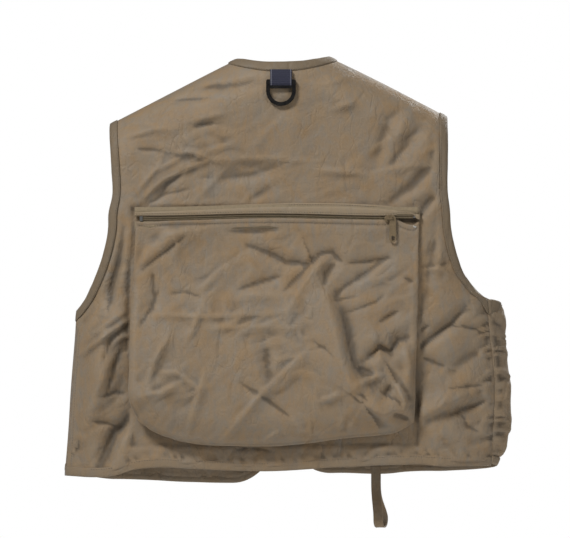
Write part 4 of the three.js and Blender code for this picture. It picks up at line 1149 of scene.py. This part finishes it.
def back_pocket():
    left, right, foot = curve(POCKET_LEFT, 118), curve(POCKET_RIGHT, 118), curve(POCKET_FOOT, 150)
    top_x = np.linspace(BACK_POCKET_LEFT, BACK_POCKET_RIGHT, len(foot))
    grid = filled(points_at(top_x, pocket_top(top_x)), foot, left, right)
    x, z = grid[..., 0], grid[..., 1]
    inward = edge_distance(grid, (left, right, foot))
    rounding = 3.5 * (1 - smooth(0, 9, inward)) ** 2
    turned_under = 10.5 * (1 - smooth(0, 40, edge_distance(grid, (foot,)))) ** 1.5
    settle = (0.25 + 0.75 * smooth(0, 14, inward)) * smooth(0, 14, pocket_top(x) - z)
    folds = (relief(x, z, POCKET_FOLDS) + 0.9 * crumple(x, z, 91, 35)) * settle
    folds = FULLEST * np.tanh(folds / FULLEST)
    pull_hangs = bell(z, -213, 17) * sum(bell(x, at, 15) for at in PULL_PLACES)
    folds = folds * (1 - pull_hangs) - pull_hangs
    seam = 0.9 * stitched_groove(z - pocket_top(x) + HEM_SEAM_DOWN)
    y = BACK_FACE - pocket_rise(x, z) - folds + (rounding + turned_under) * smooth(-230, -300, z) - seam
    surface = points_at(x, y, z)
    name, node = "back_pocket_cloth", "back_pocket_face"
    face = cloth(name, surface, POCKET_THICK, BACKWARDS, CLOTH_LOOK, replaces=node)

    rim = around(left, foot, right)
    length = distances(rim)

    def bulge(share):
        arch = math.sin(math.pi * share)
        ripple = 1.2 * noise(length + 9 * share, 0 * length + 40 * share, 14, 95) * arch
        return 1.8 * arch**2 - 2.4 * share - 0.8 + ripple

    depths = (around(y[:, 0], y[-1], y[:, -1]) + 0.4, BACK_FACE + 0.4)
    name, node = "back_pocket_side", "back_pocket_gusset"
    return face, gusset(name, CLOTH_LOOK, rim, depths, (-8, -330), 9, bulge, node)


def pocket_swell(pocket, z):
    down = (pocket["mouth"] - z) / (pocket["mouth"] - pocket["bottom"])
    return pocket["mouth_depth"] + (pocket["full_depth"] - pocket["mouth_depth"]) * smooth(0.38, 0.9, down)


def pocket_outline(pocket, count=54):
    """Left side, foot and right side of a pocket with rounded lower corners."""
    c, half, corner = pocket["centre"], pocket["half"], pocket["corner"]
    angle = np.linspace(0, math.pi / 2, 12)
    arc_x = c - half + corner * (1 - np.cos(angle))
    arc = points_at(arc_x, pocket["bottom"] + corner - corner * np.sin(angle))
    line = np.r_[[(c - half, pocket["mouth"])], arc]
    left = evenly(line[:8], count)
    foot = evenly(np.r_[line[7:], mirrored(line[7:], -1)[::-1] + np.array([2 * c, 0])], count)
    return left, foot, mirrored(left, -1) + np.array([2 * c, 0])


def pocket_centre(pocket):
    return (pocket["centre"], (pocket["mouth"] + pocket["bottom"]) / 2)


def front_pocket(pocket, name, side, mirror, seed):
    left, foot, right = pocket_outline(pocket)
    mouth = pocket["mouth"]
    top = points_at(np.linspace(left[0, 0], right[0, 0], len(foot)), mouth)
    grid = filled(top, foot, left, right)
    x, z = grid[..., 0], grid[..., 1]
    inward = edge_distance(grid, (left, right, foot))
    wrinkles = (1.1 * crumple(x, z, seed) + 1.2 * noise(x, z, 50, seed + 9)) * smooth(0, 12, inward)
    wrinkles = wrinkles * smooth(mouth - 48, mouth - 70, z)
    rounding = 2.2 * (1 - smooth(0, 8, inward)) ** 2 * smooth(mouth, mouth - 40, z)
    seam = stitched_groove(inward - POCKET_STITCHES, 1.1, 0.6)
    y = FRONT_FACE + pocket_swell(pocket, z) + 1.9 + wrinkles - rounding + seam
    cloth_name, node = f"{name}_cloth_{side}", f"{name}_face_{side}"
    face = cloth(cloth_name, points_at(mirror * x, y, z), POCKET_THICK, FORWARDS, PLAIN_LOOK, replaces=node)

    def bulge(share):
        return 1.2 * math.sin(math.pi * share) - 1.6 * share

    rim = around(left, foot, right)
    depths = (around(y[:, 0], y[-1], y[:, -1]) - 0.4, shell(rim[:, 0], rim[:, 1], FRONT_DEPTH) - 0.4)
    node = f"{name}_gusset_{side}"
    gusset(f"{name}_side_{side}", PLAIN_LOOK, rim, depths, pocket_centre(pocket), 6, bulge, node, mirror)
    return face


TOUCH_THICK = 0.9
FLAP_CORNER = 11.0
FLAP_SEAM = 4.5  # in from the flap's edge


def flap(pocket, name, side, mirror, seed):
    """A flap over the pocket mouth, with rounded lower corners, turned down from its seam."""
    low, high = box_of(f"{name}_flap_{side}")
    root_z, foot_z = high[2] - 0.3, low[2]
    half = (high[0] - low[0]) / 2
    x, share = np.meshgrid(np.linspace(-1, 1, 60) * half, np.linspace(0, 1, 26))
    in_corner = np.maximum(np.abs(x) - (half - FLAP_CORNER), 0)
    foot = foot_z + FLAP_CORNER - np.sqrt(np.maximum(FLAP_CORNER**2 - in_corner**2, 0)) + 0.5
    z = root_z + (foot - root_z) * share
    turn = smooth(root_z + 0.5, root_z - 14, z) ** 0.7
    root_y, hang_y = FRONT_FACE + 2.1, high[1] - 0.1
    edge = np.minimum(half - np.abs(x), z - foot)
    wobble = 0.6 * crumple(x, z, seed) * smooth(0, 10, edge) * smooth(root_z, root_z - 10, z)
    seam = stitched_groove(edge - FLAP_SEAM, 1.0, 0.5)
    y = root_y + (hang_y - root_y) * turn + wobble + seam - 0.25 * (1 - smooth(0, 2, edge))
    middle_x = mirror * pocket["centre"]
    surface = points_at(x + middle_x, y, z)
    body = f"{name.replace('_pocket', '')}_flap_{side}"
    cloth_name, node = f"{name}_flap_cloth_{side}", f"{name}_flap_{side}"
    piece = cloth(cloth_name, surface, FLAP_THICK, FORWARDS, PLAIN_LOOK, body, replaces=node)
    return piece, (half, root_z, foot_z, middle_x, body)


def touch_strip(name, side, kind, body):
    """Hook or loop tape with a soft pile."""
    node = f"{name}_{kind}_tape_{side}"
    low, high = box_of(node)
    x, z = np.meshgrid(np.linspace(low[0], high[0], 60), np.linspace(low[2], high[2], 16))
    y = high[1] - 0.1 - 0.25 * (noise(x, z, 1.7, 301) ** 2)
    surface = points_at(x, y, z)
    return cloth(f"{node}_pile", surface, TOUCH_THICK, FORWARDS, TOUCH_LOOK, body, node)


# ---------------------------------------------------------------- back zip

WELT_TOP = [(-180, -182.5), (-90, -179), (8, -175.5), (90, -176.5), (134, -180), (166, -186)]
CHAIN_ENDS = (-168, 156)
CHAIN_ROW = 1.15  # from the zip's middle line to the middle of each half of its chain
PARTED_FROM = 132  # beyond here the two halves hang apart
TAPE_EDGES = (3.3, 14)  # each half of the tape, from the middle line out


def chain_drop(x):
    """How far the lower half of the chain has dropped away beyond the slider."""
    return 8.0 * smooth(PARTED_FROM, 154, x)


def chain_bow(x):
    """How far the chain arches up between its left end and the slider."""
    return 2.6 * np.sin(math.pi * np.clip((x + 160) / 285, 0, 1)) ** 2


def welt_foot(x):
    """The welt's lower edge: lifted clear of the slider's last stretch, then drooping at its right end."""
    gape = within(PARTED_FROM, 140, 155, 160, x)
    return ZIP_Z + 3.5 + 1.9 * gape - 4.4 * smooth(155.5, 162, x) + chain_bow(x)


def strip(name, x_points, section, material, replaces=None):
    """A solid strip along x: section(x) gives its outline there as (y, z) points."""
    rings = [[(x, y, z) for y, z in section(x)] for x in x_points]
    return tube(name, rings, material, replaces)


def back_welt():
    """The folded strip above the chain, slack and lifted a little at its right end."""

    def section(x):
        top = float(through(WELT_TOP, x))
        foot = float(welt_foot(x))
        wave = 0.25 * float(noise(np.array([x]), np.array([0.0]), 30, 101)[0])
        face = ZIP_Y - 1.6 - 1.4 * float(smooth(155, 161, x)) + wave
        return [
            (BACK_FACE + 0.3, top),
            (BACK_FACE - 0.9, top + 0.2),
            (BACK_FACE - 1.9, top - 1.2),
            (BACK_FACE - 1.4, top - 2.4),
            (face + 0.3, top - 4.5),
            (face - 0.2, (top + foot) / 2),
            (face, foot + 2.6),
            (face + 0.25, foot + 1.8),
            (face - 0.15, foot + 0.9),
            (face + 0.25, foot + 0.1),
            (face + 0.9, foot),
            (ZIP_Y + 0.4, foot + 0.8),
            (ZIP_Y + 0.4, top - 3.0),
        ]

    return strip("back_zip_welt", np.linspace(-178, 164, 160), section, WELT_LOOK)


def back_tape(name, low, high, gives, replaces):
    """Half of the tape. With `gives`, it drops with the chain's lower half."""

    def section(x):
        shift = float(chain_bow(x) - chain_drop(x) * gives)
        return [(ZIP_Y + out, z + shift) for out, z in ((-1, high), (0, high), (0, low), (-1, low))]

    strip(name, np.linspace(-178, 163, 120), section, TAPE_LOOK, replaces)


COIL_PITCH = 1.35
COIL_STEPS = 8  # points in each turn
COIL_ACROSS = 0.72  # half its width
COIL_OUT = 0.66  # half its depth
COIL_WIRE = 0.37  # half the thickness of its thread


def coil(name, ends, centre, replaces, upright=False, gives=0):
    """Half of a nylon chain: an oval helix of stiff thread, upright or along the back's bowed zip."""
    start, end = ends
    steps = int(abs(end - start) / COIL_PITCH) * COIL_STEPS
    angle = np.arange(steps + 1) * 2 * math.pi / COIL_STEPS
    along = np.linspace(start, end, steps + 1)
    across = COIL_ACROSS * np.cos(angle)
    out = COIL_OUT * np.sin(angle)
    if upright:
        path = points_at(centre[0] + across, centre[1] + out, along)
    else:
        rise = chain_bow(along) - chain_drop(along) * gives
        path = points_at(along, centre[0] + out, centre[1] + across + rise)
    tangent = unit(np.gradient(path, axis=0))
    side = unit(np.cross(tangent, (0, 0, 1) if upright else (1, 0, 0)))
    up = np.cross(side, tangent)
    rings = np.stack([path + COIL_WIRE * way for way in (side, up, -side, -up)], 1)
    tube(name, rings, COIL_LOOK, replaces)


def dropped_stop():
    """The metal stop on the end of the dropped half of the chain: a small clip bent round the coil."""
    node = "back_zip_top_stop_lower"
    low, high = box_of(node)
    middle = (low + high) / 2 - np.array([0, 0, float(chain_drop(low[0]))])
    half = (high - low) / 2
    angle = np.linspace(0, 2 * math.pi, 16, endpoint=False)
    round_y, round_z = (np.sign(turn) * np.abs(turn) ** 0.6 for turn in (np.cos(angle), np.sin(angle)))
    rings = []
    for x, share in ((-1, 0.72), (-0.8, 1), (-0.25, 1), (0, 0.9), (0.25, 1), (0.8, 1), (1, 0.72)):
        rings.append(middle + half * points_at(x, share * round_y, share * round_z))
    tube("back_zip_dropped_stop", rings, STEEL_LOOK, node)


def back_zip():
    welt = back_welt()
    near, far = TAPE_EDGES
    back_tape("back_zip_tape_top", ZIP_Z + near, ZIP_Z + far, 0, "back_zip_tape_upper")
    back_tape("back_zip_tape_foot", ZIP_Z - far, ZIP_Z - near, 1, "back_zip_tape_lower")
    for half, rise, gives in (("upper", CHAIN_ROW, 0), ("lower", -CHAIN_ROW, 1)):
        node = f"back_zip_coil_{half}"
        coil(f"back_chain_{half}", CHAIN_ENDS, (ZIP_Y - 1.0, ZIP_Z + rise), node, gives=gives)
    for node in ("back_zip_bottom_stop", "back_zip_top_stop_upper"):
        bevelled(node, 0.5, STEEL_LOOK)
    dropped_stop()
    bevelled("back_zip_slider", 0.35, PAINT_LOOK)
    bevelled("back_zip_pull", 0.3, PAINT_LOOK)
    return welt


# ---------------------------------------------------------------- net ring


RIBBON_THICK = 0.9
RIBBON_WRAP = 2.6  # radius of its turn round the ring


def ring_and_ribbon():
    """The ring, and the doubled ribbon that it hangs in, from the neck's seam round the ring and back."""
    bevelled("net_ring", 1.1, RING_LOOK, segments=3)
    low, high = box_of("ring_ribbon")
    pivot_z = low[2] + 0.8
    seam_z = high[2] + 3
    ring_y = BACK_FACE - 3.4
    path = [(BACK_FACE + 1.5, seam_z), (BACK_FACE - 0.4, seam_z - 5)]
    turn = np.linspace(0, math.pi, 12)
    path += [(ring_y + RIBBON_WRAP * math.cos(a), pivot_z - RIBBON_WRAP * math.sin(a)) for a in turn]
    path += [(BACK_FACE - 4.4, seam_z - 7), (BACK_FACE - 1.2, seam_z)]
    middle_x, half = (low[0] + high[0]) / 2, (high[0] - low[0]) / 2
    x = np.linspace(-half, half, 25) + middle_x
    grid = np.stack([points_at(x, y, z) for y, z in evenly(path, 40)])
    name, slot = "net_ring_ribbon", "navy_webbing"
    return cloth(name, grid, RIBBON_THICK, BACKWARDS, RIBBON_LOOK, replaces="ring_ribbon")


# ---------------------------------------------------------------- front zip


TAPE_THICK = 0.85


def front_zip():
    for side, mirror in SIDES:
        node = f"front_zip_tape_{side}"
        low, high = box_of(node)
        x, z = np.meshgrid(np.linspace(low[0], high[0], 8), np.linspace(low[2], high[2], 90))
        y = high[1] - 0.12 * np.abs(noise(x, z, 9, 320 + mirror))
        name, slot = f"front_zip_ribbon_{side}", "zip_tape"
        cloth(name, points_at(x, y, z), TAPE_THICK, FORWARDS, TAPE_LOOK, replaces=node)
        node = f"front_zip_coil_{side}"
        low, high = box_of(node)
        centre = (low + high) / 2
        coil(f"front_chain_{side}", (low[2], high[2]), centre[:2], node, upright=True)
        bevelled(f"front_zip_top_stop_{side}", 0.5, STEEL_LOOK)
    bevelled("front_zip_pin", 0.5, STEEL_LOOK)
    bevelled("front_zip_box", 0.6, PAINT_LOOK)
    bevelled("front_zip_slider", 0.35, PAINT_LOOK)
    bevelled("front_zip_pull", 0.3, PAINT_LOOK)


# ---------------------------------------------------------------- rod strap and loop

STRAP_THICK = 1.4
STRAP_CORNER = 6
STRAP_SEAM = 2.6  # in from the strap's edge


def rod_strap():
    """A short strap held by a press stud, hanging from its sewn top."""
    low, high = box_of("rod_tab")
    x, share = np.meshgrid(np.linspace(low[0], high[0], 17), np.linspace(0, 1, 36))
    half = (high[0] - low[0]) / 2
    off = np.abs(x - (low[0] + high[0]) / 2)
    in_corner = np.maximum(off - (half - STRAP_CORNER), 0)
    foot = low[2] + STRAP_CORNER - np.sqrt(np.maximum(STRAP_CORNER**2 - in_corner**2, 0))
    z = high[2] + (foot - high[2]) * share
    root_y = FRONT_FACE + 1.9
    seam = stitched_groove(np.minimum(half - off, z - foot) - STRAP_SEAM, 0.8, 0.35)
    y = root_y + (high[1] - root_y) * smooth(high[2], high[2] - 20, z) + seam
    name, node, body = "rod_strap_cloth", "rod_tab", "rod_strap"
    piece = cloth(name, points_at(x, y, z), STRAP_THICK, FORWARDS, PLAIN_LOOK, body, replaces=node)
    bevelled("rod_tab_stud", 0.2, PAINT_LOOK)
    bevelled("rod_tab_cap", 0.3, PAINT_LOOK)
    return piece


LOOP_THICK = 1.3
LOOP_HALF = 5.2  # half its width
LOOP_TOP = -495.0


def rod_loop():
    """A strap sewn under the front hem, opening into a drop; its far strand swings out to the right."""
    low, high = box_of("rod_loop")
    middle_x, middle_y = ((low + high) / 2)[:2]
    reach = (high[1] - low[1]) / 2 - 0.8
    round_z = low[2] + 0.6 + reach
    down = [(0.8, LOOP_TOP), (0.8, LOOP_TOP - 21), (1.8, LOOP_TOP - 31)]
    down += [(reach * 0.8, round_z + 12), (reach, round_z)]
    turn = np.linspace(0.25, math.pi - 0.25, 9)
    arc = [(reach * math.cos(a), round_z - reach * math.sin(a)) for a in turn]
    path = curve(down + arc + [(-y, z) for y, z in down[::-1]], 120)
    x = np.linspace(-LOOP_HALF, LOOP_HALF, 12)
    edge_curl = 0.25 * (np.abs(x) / LOOP_HALF) ** 4
    normal = unit(points_at(-np.gradient(path[:, 1]), np.gradient(path[:, 0])))
    rows = []
    for k, ((y, z), (ny, nz)) in enumerate(zip(path, normal)):
        far = (y / reach + 1) / 2
        fallen = float(smooth(-514, -560, z))
        aside = middle_x + 0.6 + 4.5 * fallen**2 + 6.5 * (far - 0.3) * fallen
        twist = 0.06 * math.sin(k / 18)
        rows.append(points_at(aside + x, middle_y + y + edge_curl * ny + twist * x, z + edge_curl * nz))
    piece = cloth("rod_loop_strap", np.array(rows), LOOP_THICK, FORWARDS, HEM_LOOK, body=None)
    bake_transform(piece)
    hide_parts("rod_loop")
    return piece


# ---------------------------------------------------------------- assembly

back = back_panel()
neck = neck_band()
hem = back_hem_band()
armholes = {side: armhole_band(side, mirror) for side, mirror in SIDES}
fronts = {side: front_panel(side, mirror) for side, mirror in SIDES}
front_hems = {side: front_hem_band(side, mirror) for side, mirror in SIDES}
pocket_face, pocket_side = back_pocket()
welt = back_zip()
ribbon = ring_and_ribbon()
front_zip()
pockets = []
for side, mirror in SIDES:
    for pocket, name, seed in ((CHEST, "chest_pocket", 400), (LOWER, "lower_pocket", 440)):
        face = front_pocket(pocket, name, side, mirror, seed + mirror)
        cover, cut = flap(pocket, name, side, mirror, seed + 20 + mirror)
        pile = touch_strip(name, side, "loop", VEST)
        hook = touch_strip(name, side, "hook", cut[-1])
        pockets.append((pocket, name, side, mirror, face, cover, cut, pile, hook))
strap = rod_strap()
loop = rod_loop()

# ---------------------------------------------------------------- stitching


def moved_in(points, amount, centre):
    """A line moved sideways by an amount, towards a centre."""
    along = unit(np.gradient(points, axis=0))
    aside = points_at(-along[:, 1], along[:, 0])
    aside *= np.sign(((np.array(centre) - points) * aside).sum(1))[:, None]
    return points + amount * aside


def sew_back():
    x = np.linspace(-177, 163, 90)
    stitches("welt_top_stitches", points_at(x, through(WELT_TOP, x) - WELT_TOP_STITCHES), welt, -1)
    stitches("welt_foot_stitches", points_at(x, welt_foot(x) + WELT_FOOT_STITCHES), welt, -1)
    x = np.linspace(-174, 160, 120)
    stitches("pocket_top_stitches", points_at(x, pocket_top(x) - HEM_SEAM_DOWN), pocket_face, -1)
    line = back_neck(NECK_SEAM_HALF - NECK_STITCHES, NECK_SEAM_Z + NECK_STITCHES, 60)
    stitches("neck_stitches_back", flat_line(back_point(line)), neck, -1)
    line = points_at(np.linspace(-HEM_HALF + 3, HEM_HALF - 3, 120), HEM_Z + BAND_WIDTH)
    stitches("hem_stitches_back", flat_line(back_point(line)), hem, -1)
    z = np.linspace(-330, -484, 40)
    line = points_at(LEFT_SIDE_STITCHES - side_x(z), z)
    stitches("left_side_stitches", flat_line(back_point(line)), back, -1)


def sew_armholes():
    for side, mirror in SIDES:
        for face, arm_half, point, towards in (
            ("back", BACK_ARM_HALF, back_point, -1),
            ("front", FRONT_ARM_HALF, front_point, 1),
        ):
            line = point(mirrored(armhole(arm_half, BAND_STITCHES, 90), mirror))
            stitches(f"armhole_stitches_{face}_{side}", flat_line(line), armholes[side], towards)


def sew_fronts():
    for side, mirror in SIDES:
        seam_end = (FRONT_EDGE - 1, NECK_END_Z - BAND_WIDTH - 1)
        line = front_neck(on_shoulder(NECK_SEAM_HALF - NECK_STITCHES), seam_end, 60)
        line = flat_line(front_point(mirrored(line, mirror)))
        stitches(f"neck_stitches_front_{side}", line, neck, 1)
        line = mirrored(front_hem(FRONT_EDGE - 1.5, BAND_STITCHES, 90), mirror)
        stitches(f"hem_stitches_front_{side}", flat_line(front_point(line)), front_hems[side], 1)
        line = points_at(mirror * (FRONT_EDGE + 3), np.linspace(NECK_END_Z - 18, CORNER_Z + 4, 80))
        stitches(f"zip_stitches_{side}", line, fronts[side], 1)


def sew_front_pocket(pocket, name, side, mirror, face, cover, cut):
    line = moved_in(around(*pocket_outline(pocket)), POCKET_STITCHES, pocket_centre(pocket))
    stitches(f"{name}_stitches_{side}", mirrored(line, mirror), face, 1)
    half, root_z, foot_z, middle_x, body = cut
    angle = np.linspace(0, math.pi / 2, 10)
    reach, turn_z = FLAP_CORNER - FLAP_SEAM, foot_z + FLAP_CORNER + 0.5
    arc = points_at(half - FLAP_CORNER + reach * np.sin(angle), turn_z - reach * np.cos(angle))
    right = np.r_[[(0, foot_z + 5)], arc, [(half - FLAP_SEAM, root_z - 4)]]
    line = np.r_[mirrored(right, -1)[::-1], right[1:]] + np.array([middle_x, 0])
    stitches(f"{name}_flap_stitches_{side}", line, cover, 1, body)


def sew_rod_strap():
    low, high = box_of("rod_tab")
    left, right = low[0] + STRAP_SEAM, high[0] - STRAP_SEAM
    top, foot = high[2] - 3, low[2] + 7
    line = [(left, top), (left, foot), (right, foot), (right, top)]
    stitches("rod_strap_stitches", line, strap, 1, "rod_strap")


sew_back()
sew_armholes()
sew_fronts()
for parts in pockets:
    sew_front_pocket(*parts[:7])
sew_rod_strap()

# ---------------------------------------------------------------- stage

AIM = Vector((0, 0, -0.25))  # the middle of the vest


def placed(name, data, place):
    thing = bpy.data.objects.new(name, data)
    thing.location = place
    bpy.context.scene.collection.objects.link(thing)
    return thing


def area_light(name, place, size, power):
    light = bpy.data.lights.new(name, "AREA")
    light.shape = "RECTANGLE"
    light.size = size
    light.size_y = size
    light.energy = power
    lamp = placed(name, light, place)
    lamp.rotation_euler = (AIM - Vector(place)).to_track_quat("-Z", "Y").to_euler()


def white_world():
    """White where the camera sees it, and dim as a light."""
    world = bpy.data.worlds.new("studio")
    world.use_nodes = True
    nodes, links = world.node_tree.nodes, world.node_tree.links
    choice = nodes.new("ShaderNodeMixShader")
    links.new(nodes.new("ShaderNodeLightPath").outputs["Is Camera Ray"], choice.inputs[0])
    shades = ((nodes["Background"], 0.12), (nodes.new("ShaderNodeBackground"), 1.0))
    for k, (shade, strength) in enumerate(shades):
        shade.inputs["Color"].default_value = grey_of(1)
        shade.inputs["Strength"].default_value = strength
        links.new(shade.outputs[0], choice.inputs[k + 1])
    links.new(choice.outputs[0], nodes["World Output"].inputs["Surface"])
    bpy.context.scene.world = world


def pale_floor():
    floor = bpy.data.meshes.new("floor")
    shape = bmesh.new()
    bmesh.ops.create_circle(shape, cap_ends=True, segments=96, radius=2.6)
    shape.to_mesh(floor)
    shape.free()
    n = Nodes("pale_floor")
    look = n.between(n.noise(n.place, 3, 2), linear(238, 238, 237), linear(244, 244, 243))
    floor.materials.append(n.finish(look, None, 0.9))
    placed("floor", floor, (0, 0, -1.15))


def camera():
    """Level with the middle of the back, and far enough to flatten it."""
    data = bpy.data.cameras.new("camera")
    distance = 4.5
    frame_width = 570 * 1.2 * MM  # what it takes in, across the face of the back
    data.sensor_width = 36
    data.lens = data.sensor_width * (distance + BACK_FACE * MM) / frame_width
    eye = placed("camera", data, (0.0024, -distance, -0.2544))
    eye.rotation_euler = (math.radians(90), 0, 0)
    bpy.context.scene.camera = eye


white_world()
area_light("key", (-1.65, -2.2, 2.4), 0.9, 122)
area_light("fill", (2.2, -2.4, 0.2), 1.2, 22)
area_light("front_key", (1.1, 1.5, 0.8), 0.6, 30)
pale_floor()
camera()
bpy.context.scene.view_settings.view_transform = "Standard"
